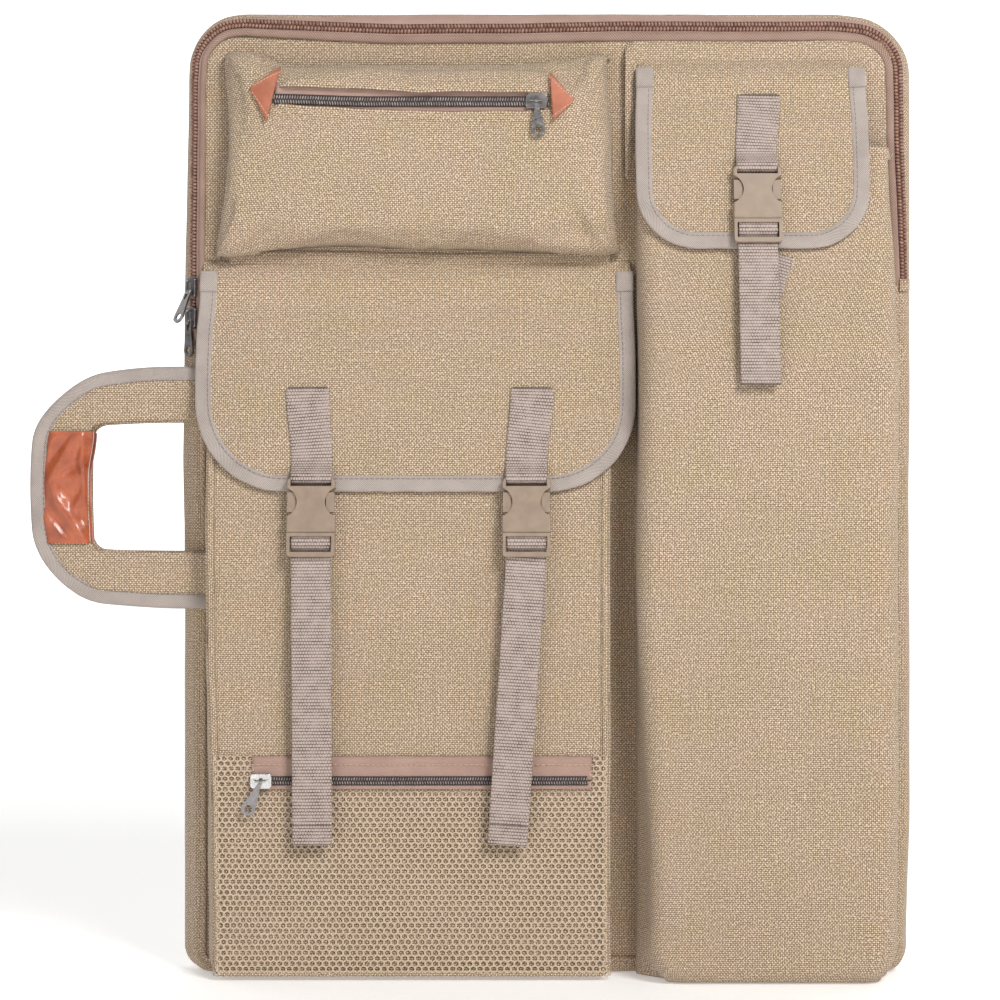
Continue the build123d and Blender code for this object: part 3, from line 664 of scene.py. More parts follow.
def case_gusset():
    """Canvas round the sides, from the back seam to the front seam or, where there is a zip, to the zip."""
    seam = np.where(WITH_ZIP, 0.0, 1.0)
    for _ in range(3):
        seam = (np.roll(seam, 1) + seam + np.roll(seam, -1)) / 3
    last = seam * 13.6 + (1 - seam) * CANVAS_END
    full = 2.8 + (SIDE_BULGE - 2.8) * ease(-RIM_X, 215, 236)
    columns = []
    for t in np.linspace(0, 1, 17):
        crease = 1.6 * bell(t, 0.60 + 0.03 * np.sin(RIM_Z / 40.0), 0.07) * ease(full, 3, 5)
        bulge = (full * math.sin(math.pi * t) ** 0.7 - crease) * ease(RIM_Z, -8, 12)
        columns.append(rim_line(0.4 - bulge, SIDE_BACK + (ARC_Y - SIDE_BACK) * t, wave=ease(t, 0, 1)))
    for t in np.linspace(0.12, 1, 8):
        columns.append(rim_line(*edge_at(last * t, 0.1)))
    P = np.stack(columns, 1)
    case_cloth("case_gusset", P, 1.3, uv=even_uv(P, True), close_u=True,
               replaces=("gusset", "front_edge_band"))


def case_zip_tape():
    """The tape under the main coil."""
    columns = []
    for t in np.linspace(0, 1, 18):
        at = (CANVAS_END - 1.2) * (1 - t) + (WELT_AT + 0.6) * t
        columns.append(rim_line(*edge_at(at, tape_lift(at) - 0.5 * (1 - ease(t, 0, 0.12))), ZIP_INDEX))
    P = np.stack(columns, 1)
    case_cloth("case_zip_tape", P, 0.9, TAPE, even_uv(P),
               replaces=("main_zip_tape_front", "main_zip_tape_rear"))


def case_piping():
    """Canvas piping round the lower front and the back, and the welt inside the zip."""
    path = rim_line(9.4, FRONT - 0.2, BAND_INDEX)
    piping = rope_sweep("case_front_piping", path, (0, -1, 0), oval(3.6, 3.0))
    piece(piping, CANVAS, replaces=("front_piping",))
    path = rim_line(*edge_at(WELT_AT, 1.3), ZIP_INDEX)
    wide = (4.2 + 1.4 * ease(WELT_AT[ZIP_INDEX], 14, 19))[:, None]
    across, height = oval(1.0, 3.2, 14).T
    profile = np.stack([across * wide, np.broadcast_to(height, (len(wide), 14))], -1)
    welt = rope_sweep("case_zip_welt", path, (0, -1, 0), profile, 0.3)
    piece(welt, WELT, replaces=("main_zip_welt",))
    path = rim_line(1.4, BACK_PIPING, wave=0.0)
    piping = rope_sweep("case_back_piping", path, (0, 1, 0), oval(3.4, 3.2, 10), closed=True)
    piece(piping, CANVAS, replaces=("back_piping",))


def case_panels():
    panel_sheet("case_front_cloth", 9.6, FRONT - 0.05, -1, ("front_panel", "front_foam"), 1.0)
    panel_sheet("case_back_cloth", 2.6, BACK - 0.3, 1, ("back_panel", "back_foam"), 2.2)
    inner = panel_sheet("case_lining", 12.0, FRONT + 6.0, -1, ("lining",), 0.3)
    paint(inner, LINING)


def outline_span(x, low, high, top_r, bottom_r):
    """Lowest and highest z at x, of a rounded rectangle whose low and high corners are (x, z). A radius may
    be a pair, left and right."""
    d = np.minimum(x - low[0], high[0] - x)
    on_left = x < (low[0] + high[0]) / 2

    def cut(r):
        r = np.where(on_left, *np.broadcast_to(r, 2))
        inside = np.clip(r - d, 0, r)
        return r - np.sqrt(np.maximum(r * r - inside * inside, 0))
    return low[1] + cut(bottom_r), high[1] - cut(top_r)


def cloth_plate(low, high, top_r, bottom_r, surface, step=4.0):
    """Grid of points on surface(x, z) inside a rounded rectangle, and its UVs."""
    spread = np.linspace(0, 1, max(4, int((high[0] - low[0]) / step)))
    edge = max(np.max(top_r), np.max(bottom_r), 1.0)
    width = high[0] - low[0]
    dense = 0.5 - 0.5 * np.cos(np.linspace(0, math.pi, 9))
    xs = np.unique(np.concatenate([low[0] + spread * width, low[0] + edge * dense * 0.5,
                                   high[0] - edge * dense * 0.5]))
    count = max(4, int((high[1] - low[1]) / step))
    rows = np.linspace(0, 1, count)
    z0, z1 = outline_span(xs, low, high, top_r, bottom_r)
    z = z0[:, None] + (z1 - z0)[:, None] * rows
    x = np.broadcast_to(xs[:, None], z.shape)
    P = surface(x, z)
    return P, np.stack([x, z], -1)


def pad_uv(uv):
    return np.pad(uv, ((0, 1), (0, 1), (0, 0)), mode="edge")


def panel_sheet(name, inset, y, side, nodes, puff):
    low, high = (-HALF + inset, inset), (HALF - inset, TALL - inset)

    def surface(x, z):
        edge = np.minimum(np.minimum(x - low[0], high[0] - x), np.minimum(z - low[1], high[1] - z))
        rise = puff * (1 - np.exp(-edge / 22.0))
        P = np.stack([x, 0 * x, z], -1)
        wave = 0.35 * puff * rumple(P, 120.0, 5.0 + side) + 0.15 * puff * rumple(P, 45.0, 2.0)
        return np.stack([x, y + side * (rise + wave * ease(edge, 0, 30)), z], -1)

    top_r = np.array([LEFT_TOP_R, TOP_R]) - inset
    bottom_r = np.maximum(np.array([LEFT_BOTTOM_R, BOTTOM_R]) - inset, 2.0)
    P, uv = cloth_plate(low, high, top_r, bottom_r, surface, 6.0)
    return case_cloth(name, P, 1.2, uv=pad_uv(uv), flip=side > 0, replaces=nodes)


def coil_teeth(name, centre, out, material, nodes, pitch, half, width, height, body="case", lean=0.22):
    """Both halves of a closed zip: rows of slanted loops either side of the middle line."""
    path, normal = resample(centre, pitch, np.broadcast_to(out, np.shape(centre)))
    normal = unit(normal)
    along = unit(np.gradient(path, axis=0))
    across = unit(np.cross(along, normal))
    rows, directions, normals = [], [], []
    for side in (-1, 1):
        shift = along * (pitch * 0.25 * side)
        rows.append(path + shift + across * side * half * 0.5)
        directions.append(unit(across * side + along * lean))
        normals.append(normal)
    obj = beads(name, np.concatenate(rows), np.concatenate(directions), np.concatenate(normals),
                (half * 1.08, width, height), 6, 6, 2.0)
    return piece(obj, material, body, nodes)


def zip_gap_shade(name, centre, half):
    """A dark sheet behind a zip's teeth: painted shade for the gaps between them, where tape and cord show.
    centre lies on the cloth.
    """
    path = resample(centre, 3.0)
    profile = np.array([(-half, 0.0), (-half * 0.9, 0.35), (0, 0.45), (half * 0.9, 0.35), (half, 0.0)])
    gap_shade_sheet = sweep(name, path, (0, -1, 0), profile, caps=False, profile_closed=False, flip=True)
    thicken(gap_shade_sheet, 0.3)
    piece(gap_shade_sheet, GAP_SHADE_PAINT)


def main_coil():
    inset, y = edge_at(COIL_AT, tape_lift(COIL_AT) + 0.75)
    centre = rim_line(inset, y, ZIP_INDEX)
    out = rim_facing(COIL_AT)[ZIP_INDEX]
    coil_teeth("case_zip_coil", centre, out, COIL, ("main_zip_coil",), 2.3, 3.0, 2.2, 1.9)
    # the cord the teeth are sewn round, coloured dark as painted shade in the gaps between the teeth
    columns = []
    for part in np.linspace(-1, 1, 7):
        at = COIL_AT + 3.2 * part
        columns.append(rim_line(*edge_at(at, tape_lift(at) + 0.3 - 0.25 * abs(part) ** 4), ZIP_INDEX))
    piece(grid("case_zip_cord_shade", np.stack(columns, 1)), CORD_PAINTED_SHADE)
    # the two ends, each a tab of tape folded over the coil's end
    for label, i in (("right", ZIP_INDEX[0]), ("left", ZIP_INDEX[-1])):
        middle = rim_line(*edge_at(COIL_AT, 0.6))[i]
        path = np.array([middle + [0, 0, 3.0 - 1.6 * k] for k in range(6)])
        tab = sweep(f"zip_end_{label}", path, rim_facing(COIL_AT)[i], oval(8.6, 2.2, 14, 3.0))
        nodes = ("main_zip_end_stops",) if label == "left" else ()
        cloth, slot = (TAPE, "zip_tape") if label == "left" else (CANVAS, "canvas")
        piece(tab, cloth, replaces=nodes)


def rim_facing(s):
    """Which way the front edge faces, a distance s round it."""
    a = np.minimum(s / EDGE_R, math.pi / 2)[:, None]
    out = np.stack([RIM[:, 2], 0 * RIM[:, 2], RIM[:, 3]], -1)
    return out * np.cos(a) + np.array([0, -1.0, 0]) * np.sin(a)


# ---- Pockets ----


def along_u(low, high, radius, top, step=4.0):
    """The U that a pocket's sides and base follow, from its top left down and round to its top right, and the
    way out at each place."""
    x0, x1, z0 = low[0], high[0], low[1]
    left = np.arange(top, z0 + radius, -step)
    base = np.arange(x0 + radius + step, x1 - radius, step)
    right = np.arange(z0 + radius + step, top + 0.1, step)
    turns = [arc((x0 + radius, z0 + radius), radius, 180, 7), arc((x1 - radius, z0 + radius), radius, 270, 7)]
    places = [pairs(x0, left), turns[0][0], pairs(base, z0), turns[1][0], pairs(x1, right)]
    outs = [pairs(-1 + 0 * left, 0), turns[0][1], pairs(0 * base, -1), turns[1][1], pairs(1 + 0 * right, 0)]
    return np.concatenate(places), np.concatenate(outs)


big_low, big_high = box_mm("big_pocket_face")
BIG_TOP = big_high[2]
BIG_FRONT = big_low[1]
# It leans back above this height, in degrees, and so does its flap
BIG_BEND_Z, BIG_LEAN = 292.0, 8.0


def big_depth(z):
    """Depth of the middle pocket's face: upright, then leaning back to its mouth under the flap."""
    return BIG_FRONT + np.maximum(z - BIG_BEND_Z, 0) * math.tan(math.radians(BIG_LEAN))


def big_surface(x, z):
    P = np.stack([x, 0 * x, z], -1)
    edge = np.minimum(np.minimum(x - big_low[0], big_high[0] - x), z - big_low[2])
    inner = ease(edge, 0, 26)
    y = big_depth(z) - 0.9 * inner
    y = y - inner * (0.8 * rumple(P, 85.0, 1.7) + 0.35 * rumple(P, (26.0, 1.0, 60.0), 6.1))
    sag = bell(z, 205.0, 60.0) * bell(x, 20.0, 26.0) * 1.1
    y = y + sag * inner
    shift = 0.9 * rumple(P, (200.0, 1.0, 46.0), 4.4) * (1 - ease(edge, 0, 60))
    # the left edge draws in towards the foot, and the foot sags
    shift = shift + 5.0 * (1 - ease(z, 0, 330)) * (1 - ease(x, big_low[0], big_low[0] + 70))
    return np.stack([x + shift, y, z - 3.4 * (1 - ease(z, 6, 70))], -1)


def big_pocket():
    low, high = (big_low[0], big_low[2]), (big_high[0], BIG_TOP)
    P, uv = cloth_plate(low, high, 0.0, 5.0, big_surface)
    case_cloth("pocket_face_cloth", P, 1.3, uv=pad_uv(uv), replaces=("big_pocket_face",))

    line, out = along_u(low, high, 5.0, BIG_TOP)
    front = big_surface(line[:, 0], line[:, 1])
    columns = []
    for t in np.linspace(0, 1, 9):
        y = (FRONT - 0.7) * (1 - t) + (front[:, 1] + 0.8) * t
        places = np.stack([line[:, 0], y, line[:, 1]], -1)
        bulge = np.sin(math.pi * t) * (0.9 + 0.9 * rumple(places, 34.0, 9.0)) * ease(line[:, 1], 4, 30)
        columns.append(np.stack([line[:, 0] + (front[:, 0] - line[:, 0]) * t + out[:, 0] * bulge, y,
                                 line[:, 1] + out[:, 1] * bulge], -1))
    case_cloth("pocket_gusset_cloth", np.stack(columns, 1), 1.2, flip=True, replaces=("big_pocket_gusset",))

    # the turned seam where face and gusset meet, and its row of stitches
    path = front + np.stack([-out[:, 0] * 1.9, 0 * out[:, 0] - 0.1, -out[:, 1] * 1.9], -1)
    seam = sweep("pocket_seam", resample(path, 3.0), (0, -1, 0), oval(4.4, 2.6, 12, 2.6))
    piece(seam, CANVAS)
    inner = line - out * 4.9
    path = big_surface(inner[:, 0], inner[:, 1]) + [0, -0.5, 0]
    stitches = stitch_line("pocket_seam_stitches", path, (0, -1, 0), 3.4)
    piece(stitches, THREAD)
    hem = big_surface(np.linspace(low[0] + 4, high[0] - 4, 60), np.full(60, BIG_TOP - 1.0))
    piece(sweep("pocket_mouth_hem", hem, (0, -1, 0), oval(9.0, 3.0, 12, 3.0)), CANVAS)


mesh_low, mesh_high = box_mm("mesh_panel")
MESH_FRONT = mesh_low[1]
mesh_coil_low, mesh_coil_high = box_mm("mesh_zip_coil")
MESH_COIL_Z = (mesh_coil_low[2] + mesh_coil_high[2]) / 2


def mesh_surface(x, z, lift=0.0):
    P = big_surface(x, z)
    side = np.maximum(big_low[0] + 1.0 - x, x - big_high[0] + 1.0)
    round_off = np.maximum(np.maximum(side, big_low[2] + 1.5 - z), 0.0)
    stand_off = np.minimum(P[..., 1] - 0.9, MESH_FRONT + 0.9) - lift + 0.2 * rumple(P, 40.0, 12.0)
    P[..., 1] = stand_off + 1.6 * round_off
    P[..., 0] -= np.sign(x) * 0.55 * np.maximum(side, 0)
    return P


def net(name, low, high, cell, strand, inside):
    """An open net of flat strands with hexagonal holes, on the mesh pocket's surface and over its edges."""
    points, faces = [], []
    index = {}
    rows = int((high[1] - low[1]) / (cell * 0.75)) + 2
    cols = int((high[0] - low[0]) / cell) + 2
    tall = cell * 0.5

    def add(x, z):
        key = (round(x * 20), round(z * 20))
        if key not in index:
            index[key] = len(points)
            points.append((x, z))
        return index[key]

    hexes = []
    for r in range(rows):
        for c in range(cols):
            cx = low[0] + c * cell + (cell / 2 if r % 2 else 0)
            cz = low[1] + r * cell * 0.75
            if not inside(cx, cz):
                continue
            ring = [(cx + cell / 2 * math.sin(math.radians(60 * k)) / math.sin(math.radians(60)),
                     cz + tall * math.cos(math.radians(60 * k))) for k in range(6)]
            hexes.append((cx, cz, ring))
    for cx, cz, ring in hexes:
        shrink = 1 - strand / (cell / 2)
        outer = [add(*p) for p in ring]
        jitter = 0.05 * noise.noise(Vector((cx / 7, cz / 7, 0.5)))
        inner = []
        for x, z in ring:
            k = shrink + jitter
            inner.append(len(points))
            points.append((cx + (x - cx) * k, cz + (z - cz) * k))
        for k in range(6):
            faces.append([outer[k], outer[(k + 1) % 6], inner[(k + 1) % 6], inner[k]])
    flat = np.array(points)
    P = mesh_surface(flat[:, 0], flat[:, 1], 0.15)
    uv = [flat[i] for face in faces for i in face]
    return new_object(name, P, faces, np.array(uv))


def mesh_pocket():
    low, high = (mesh_low[0] - 6.0, mesh_low[2] - 3.0), (mesh_high[0] + 6.0, mesh_high[2] - 0.6)
    zip_x = (box_mm("mesh_zip_tape")[0][0], box_mm("mesh_zip_tape")[1][0])
    tape_low = MESH_COIL_Z - 5.6

    def inside(x, z):
        if not (low[0] < x < high[0] and low[1] < z < high[1]):
            return False
        return not (zip_x[0] < x < zip_x[1] + 2 and z > tape_low)

    mesh_net = net("mesh_net", low, high, 4.5, 0.62, inside)
    thicken(mesh_net, 0.4, 0.0)
    piece(mesh_net, MESH, replaces=("mesh_panel",))
    # zip tape, with its stitched upper edge
    xs = np.linspace(zip_x[0], zip_x[1] + 2, 80)
    for label, z0, z1 in (("upper", MESH_COIL_Z + 0.5, mesh_high[2]), ("lower", tape_low, MESH_COIL_Z - 0.5)):
        rows = np.linspace(z0, z1, 6)
        X, Z = np.meshgrid(xs, rows, indexing="ij")
        P = mesh_surface(X, Z)
        P[..., 1] = P[..., 1] - 0.2 - 0.5 * ease(Z, MESH_COIL_Z + 9, MESH_COIL_Z + 12)
        case_cloth(f"mesh_tape_{label}", P, 0.7, TAPE,
                   replaces=("mesh_zip_tape",) if label == "upper" else ())
    path = mesh_surface(xs, np.full(xs.shape, mesh_high[2] - 5.5), 0.8)
    piece(stitch_line("mesh_tape_stitches", path, (0, -1, 0)), PALE_THREAD)
    centre = mesh_surface(xs[1:-1], np.full(len(xs) - 2, MESH_COIL_Z), 1.0)
    zip_gap_shade("mesh_zip_gap_shade", centre + [0, 0.3, 0], 3.0)
    coil_teeth("mesh_zip_teeth", centre, (0, -1, 0), DARK_COIL, ("mesh_zip_coil",),
               1.7, 2.5, 1.05, 1.2)


tube_low, tube_high = box_mm("tube_pocket")
TUBE_FRONT = tube_low[1]
TUBE_TOP = tube_high[2]
TUBE_BEND_Z, TUBE_LEAN = 391.0, 12.0


def tube_depth(z):
    return TUBE_FRONT + np.maximum(z - TUBE_BEND_Z, 0) * math.tan(math.radians(TUBE_LEAN))


def tube_section(z, count):
    """Across the tube pocket at each height: left side, rounded front, right side, and the length run."""
    z = np.atleast_1d(z)[:, None]
    y_front, y_back = tube_depth(z), FRONT - 0.7
    depth = y_back - y_front
    x0, x1 = tube_low[0], tube_high[0]
    r = np.minimum(13.0, depth * 0.6)
    straight = np.maximum(depth - r, 0.5)
    lengths = np.concatenate([straight, r * math.pi / 2, (x1 - x0) - 2 * r, r * math.pi / 2, straight], 1)
    s = np.linspace(0, 1, count)[None, :] * lengths.sum(1, keepdims=True)
    ends = [end[:, None] for end in np.cumsum(lengths, 1).T]
    on = [s < end for end in ends[:4]]
    a, b = (s - ends[0]) / r, (s - ends[2]) / r
    x = np.select(on, [x0, x0 + r - r * np.cos(a), x0 + r + (s - ends[1]), x1 - r + r * np.sin(b)], x1)
    y = np.select(on, [y_back - s, y_front + r - r * np.sin(a), y_front, y_front + r - r * np.cos(b)],
                  y_front + r + (s - ends[3]))
    return x, y, s


def tube_pocket():
    heights = np.concatenate([np.linspace(0.8, 14, 7), np.arange(19, TUBE_TOP - 4, 5.0), [TUBE_TOP + 2.0]])
    x, y, s = tube_section(heights, 90)
    z = np.broadcast_to(heights[:, None], x.shape)
    P = np.stack([x, y, z], -1)
    x0, x1 = tube_low[0], tube_high[0]
    middle = (x0 + x1) / 2
    wave = 1.5 * rumple(P, (70.0, 60.0, 170.0), 2.2) + 0.7 * rumple(P, (24.0, 40.0, 60.0), 7.7)
    base = ease(z, 0, 40)
    outward = np.sign(x - middle)
    off_middle = np.abs(x - middle)
    # full on the right, and wavy all over
    P[..., 0] += 2.8 * ease(x, middle + 60, x1) * ease(-y, 26, 44)
    P[..., 1] -= wave * ease(-y, 24, 60) * base
    P[..., 0] += outward * ease(off_middle, 55, 82) * wave * 0.7 * base * ease(-y, 22, 40)
    # it tapers in on the left towards the base, and its lower corners are drawn in
    near_front = ease(-y, 24, 50)
    P[..., 0] += 6.0 * (1 - ease(z, 0, 330)) * (1 - ease(x, x0, x0 + 70)) * near_front
    corner_in = np.clip(1 - z / 24.0, 0, 1) ** 2 * near_front
    P[..., 0] -= outward * ease(off_middle, 52, 82) * 13.0 * corner_in
    # the left edge wanders as it drops, and the base is rounded off
    P[..., 0] += 2.2 * (1 - ease(x, x0, x0 + 30)) * np.sin(z / 52.0) * base * ease(-y, 26, 50)
    P[..., 1] += 6.0 * (1 - ease(z, 0, 9)) * ease(-y, 55, 68)
    uv = pad_uv(np.stack([s, z + 0 * s], -1))
    case_cloth("tube_cloth", P, 1.3, uv=uv, flip=True, replaces=("tube_pocket",))
    # base
    rim = P[0]
    rows = [np.stack([rim[:, 0], rim[:, 1] + (FRONT - 0.7 - rim[:, 1]) * k, rim[:, 2] - 0.1], -1)
            for k in (0, 0.25, 0.5, 0.75, 1.0)]
    bottom = grid("tube_base_cloth", np.stack(rows, 0), flip=True)
    piece(bottom, CANVAS)
    # the mouth's folded hem
    hem = P[-1] + [0, -0.1, -4.0]
    piece(sweep("tube_mouth_hem", resample(hem, 3.0), unit((0, -1.0, 0.02)), oval(8.5, 2.6, 12, 3.2)), CANVAS)

    # the layer behind, above the mouth
    low, high = box_mm("tube_back_layer")

    def surface(x, z):
        P = np.stack([x, 0 * x, z], -1)
        free = 1 - ease(z, high[2] - 12, high[2])
        left = 1 - ease(x, low[0], low[0] + 13)
        y = FRONT - 1.6 - (1.1 * rumple(P, (60.0, 1.0, 45.0), 3.0) + 5.0 * left) * free
        return np.stack([x, y, z + 1.5 * rumple(P, 80.0, 1.0)], -1)

    P, uv = cloth_plate((low[0], TUBE_TOP - 18), (high[0] + 7, high[2] + 1), 8.0, 0.0, surface, 4.0)
    case_cloth("tube_back_cloth", P, 1.1, uv=pad_uv(uv), replaces=("tube_back_layer",))


# ---- Top pocket ----

top_low = box_mm("top_pocket_shell")[0]
top_coil_low, top_coil_high = box_mm("top_zip_coil")
TOP_COIL_Z = (top_coil_low[2] + top_coil_high[2]) / 2
TOP_ZIP = (top_coil_low[0], top_coil_high[0])


def top_pocket_points(nx=120, nz=66):
    """The stuffed pocket before it is blown up: a raised plate whose edges turn down to the seam."""
    u = np.sin(np.linspace(-1, 1, nx) * math.pi / 2)[:, None] + np.zeros((1, nz))
    v = np.sin(np.linspace(-1, 1, nz) * math.pi / 2)[None, :] + np.zeros((nx, 1))
    along, up = (u + 1) / 2, (v + 1) / 2
    # the outline: all four corners stick out a little, and the sides are drawn in between them
    left = -219.5 + 6.0 * ease(up, 0, 0.6) + 2.0 * bell(up, 0.72, 0.12)
    right = 43.5 - 2.0 * np.sin(math.pi * up) ** 0.7 - 6.5 * ease(up, 0.5, 1.0)
    x = left + (right - left) * along
    top = 608.5 + 2.5 * bell(x, -200, 14) - 7.5 * bell(x, -172, 16)
    top = top - 4.5 * ease(x, -172, -150) * (1 - ease(x, 8, 32))
    low = 478.0 + 4.0 * ease(x, -214, -180) + 2.0 * bell(x, -137, 30) - 2.5 * ease(x, -80, 10)
    z = low + (top - low) * up
    rise_x, rise_z = (1 - np.abs(u) ** 12).clip(0) ** 0.2, (1 - np.abs(v) ** 6).clip(0) ** 0.2
    x = x + np.sign(u) * 2.2 * np.sin(math.pi * rise_x)
    z = z + np.sign(v) * 1.6 * np.sin(math.pi * rise_z)
    y = FRONT - 0.8 - (FRONT - top_low[1] - 2.5) * rise_x * rise_z
    return np.stack([x, y, z], -1)


def blown_up(P, pressure, slack, cap):
    """A grid as stuffed cloth, held round its edge and blown up from behind."""
    faces, _ = grid_data(P)
    obj = new_object("stuffing", P.reshape(-1, 3), faces.tolist())
    index = np.arange(P.shape[0] * P.shape[1]).reshape(P.shape[:2])
    edge = np.concatenate([index[0], index[-1], index[:, 0], index[:, -1]])
    obj.vertex_groups.new(name="held").add(sorted(set(edge.tolist())), 1.0, "REPLACE")
    cloth = obj.modifiers.new("cloth", "CLOTH")
    settings = cloth.settings
    settings.quality = 6
    settings.mass = 0.25
    settings.tension_stiffness = settings.compression_stiffness = 12
    settings.shear_stiffness = 4
    settings.bending_stiffness = 0.35
    settings.vertex_group_mass = "held"
    settings.use_pressure = True
    settings.uniform_pressure_force = pressure
    settings.shrink_min = -slack
    settings.effector_weights.gravity = 0.0
    cloth.point_cache.frame_end = 20
    scene = bpy.context.scene
    for number in range(1, 21):
        scene.frame_set(number)
    shown = obj.evaluated_get(bpy.context.evaluated_depsgraph_get())
    moved = np.array([v.co for v in shown.data.vertices]).reshape(P.shape) * 1000
    scene.frame_set(1)
    bpy.data.objects.remove(obj)
    shift = moved - P
    size = np.linalg.norm(shift, axis=-1, keepdims=True)
    return P + shift * np.minimum(1.0, cap / np.maximum(size, 1e-6))


# Height of the slit's upper and lower edges along the pocket, and of the coil between them
SLIT_X = (-190, -181, -160, -120, -85, -60, -20, 0, 12)
SLIT_TOP = (583, 587, 587, 585.5, 583.2, 584, 583.5, 582.5, 581)
SLIT_LOW = (576, 574.5, 572.5, 570.5, 569.2, 568.8, 569.2, 570.5, 573)


def coil_height(x):
    return TOP_COIL_Z - 0.4 + 1.6 * (1 - ease(x, -181, -118))


def top_pocket():
    P = top_pocket_points()
    rise = np.clip((FRONT - P[..., 1]) / 26.0, 0, 1)
    P[..., 1] -= rise * (1.6 * rumple(P, (52.0, 40.0, 44.0), 4.0) + 0.6 * rumple(P, 19.0, 9.0))
    P = blown_up(P, 1.0, 0.015, 2.8)
    x, z = P[..., 0], P[..., 2]
    inside = ease(x, TOP_ZIP[0] - 16, TOP_ZIP[0] + 4) * (1 - ease(x, TOP_ZIP[1] - 4, TOP_ZIP[1] + 14))
    P[..., 1] += 3.0 * inside * bell(z, coil_height(x) - 0.5, 9.0)
    # the fold along its foot, over the seam
    fold = bell(z, 489.0 + 3.0 * np.sin(x / 33.0), 5.0)
    P[..., 1] += 2.4 * fold * ease(x, -170, -110) * (1 - ease(x, 25, 45))
    flat = box_mm("top_zip_tape")[1][1]
    limit = top_low[1] - 1.0
    P[..., 1] = np.maximum(P[..., 1], limit - 2.5 * np.tanh((limit - P[..., 1]).clip(0) / 2.5))
    near = inside * bell(z, TOP_COIL_Z, 6.0)
    P[..., 1] = P[..., 1] * (1 - near) + np.maximum(P[..., 1], flat + 0.6) * near
    case_cloth("top_pocket_cloth", P, 1.2, replaces=("top_pocket_shell",))
    # the seam it is sewn down by
    xs = np.linspace(-214, 40, 90)
    seam = np.stack([xs, np.full(90, FRONT - 2.6), 476.0 + 0.8 * np.sin(xs / 37.0)], -1)
    piece(stitch_line("top_pocket_stitches", seam, (0, -1, 0), 3.2), THREAD)
    hem = seam + [0, 1.2, -1.4]
    piece(sweep("top_pocket_hem", hem, (0, -1, 0), oval(12.0, 2.4, 12, 3.0)), CANVAS)
    return surface_finder(P)


def surface_finder(P):
    """Looks for a grid's front surface: at(x, z) gives the point, and how it faces."""
    faces, _ = grid_data(P)
    tree = BVHTree.FromPolygons(P.reshape(-1, 3).tolist(), faces.tolist())

    def at(x, z, lift=0.0):
        points, normals = [], []
        for a, b in zip(np.ravel(x), np.ravel(z)):
            hit, normal, _, _ = tree.ray_cast(Vector((a, -200.0, b)), Vector((0, 1, 0)))
            if hit is None:
                hit, normal, _, _ = tree.find_nearest(Vector((a, -45.0, b)))
            n = np.array(normal)
            n = -n if n[1] > 0 else n
            points.append(np.array(hit) + n * lift)
            normals.append(n)
        shape = np.shape(x) + (3,)
        return np.array(points).reshape(shape), np.array(normals).reshape(shape)

    return at


def top_zip(at):
    """The zip in its slit: the tape, the coil along it, and the canvas edges folded over above and below."""
    xs = np.linspace(TOP_ZIP[0], TOP_ZIP[1], 80)
    upper = np.interp(xs, SLIT_X, SLIT_TOP)
    lower = np.interp(xs, SLIT_X, SLIT_LOW)
    rows = np.linspace(0, 1, 7)
    Z = (lower - 1.5)[:, None] * (1 - rows) + (upper + 1.5)[:, None] * rows
    X = np.broadcast_to(xs[:, None], Z.shape)
    P, _ = at(X, Z, 0.4)
    flat = box_mm("top_zip_tape")[0][1]
    P[..., 1] = np.minimum(P[..., 1], flat)
    case_cloth("top_tape", P, 0.6, TAPE, replaces=("top_zip_tape",))
    over = np.minimum(P[:, :, 1].min(1), flat)
    slit_fold(at, "upper", np.linspace(-183, 1, 90), 1)
    slit_fold(at, "lower", np.linspace(-185, 3, 90), -1)
    centre = np.stack([xs, over - 1.0, coil_height(xs)], -1)
    zip_gap_shade("top_zip_gap_shade", centre + [0, 0.4, 0], 3.5)
    coil_teeth("top_zip_teeth", centre, (0, -1, 0), DARK_COIL, ("top_zip_coil",),
               1.7, 2.9, 1.05, 1.3)
    patches(at)


def slit_fold(at, label, xs, side):
    """Canvas turned under along one edge of the slit. The upper one is deep and overhangs the zip."""
    edge = np.interp(xs, SLIT_X, SLIT_TOP if side > 0 else SLIT_LOW)
    depth = 15.0 if side > 0 else 7.0
    proud = 2.6 if side > 0 else 1.1
    ends = ease(xs, xs[0], xs[0] + 12) * (1 - ease(xs, xs[-1] - 12, xs[-1]))
    rows = np.linspace(0, 1, 12)
    Z = edge[:, None] + side * (depth * rows[None, :] - 0.8)
    X = np.broadcast_to(xs[:, None], Z.shape)
    P, _ = at(X, Z, 0.1)
    flat = box_mm("top_zip_tape")[0][1]
    lift = proud * (1 - rows ** 1.6)[None, :] * ends[:, None] - 0.9 * ease(rows, 0.75, 1.0)[None, :] + 0.25
    over = (1 - ease(rows, 0.15, 0.6))[None, :] * ends[:, None]
    face = P[..., 1] * (1 - over) + np.minimum(P[..., 1], flat - 0.4) * over
    P[..., 1] = face - lift
    tucked = P[:, :1] + np.array([0.0, 2.4, side * 0.9])
    P = np.concatenate([tucked, P], 1)
    case_cloth(f"top_slit_{label}", P, 1.0, offset=0.0, flip=side < 0)


# Corners of the two leather patches at the slit's ends: upper, lower, tip
PATCHES = {"left": ((-177.6, 599.5), (-186.2, 563.0), (-197.5, 585.5)),
           "right": ((-1.0, 595.0), (1.5, 563.2), (15.5, 577.4))}


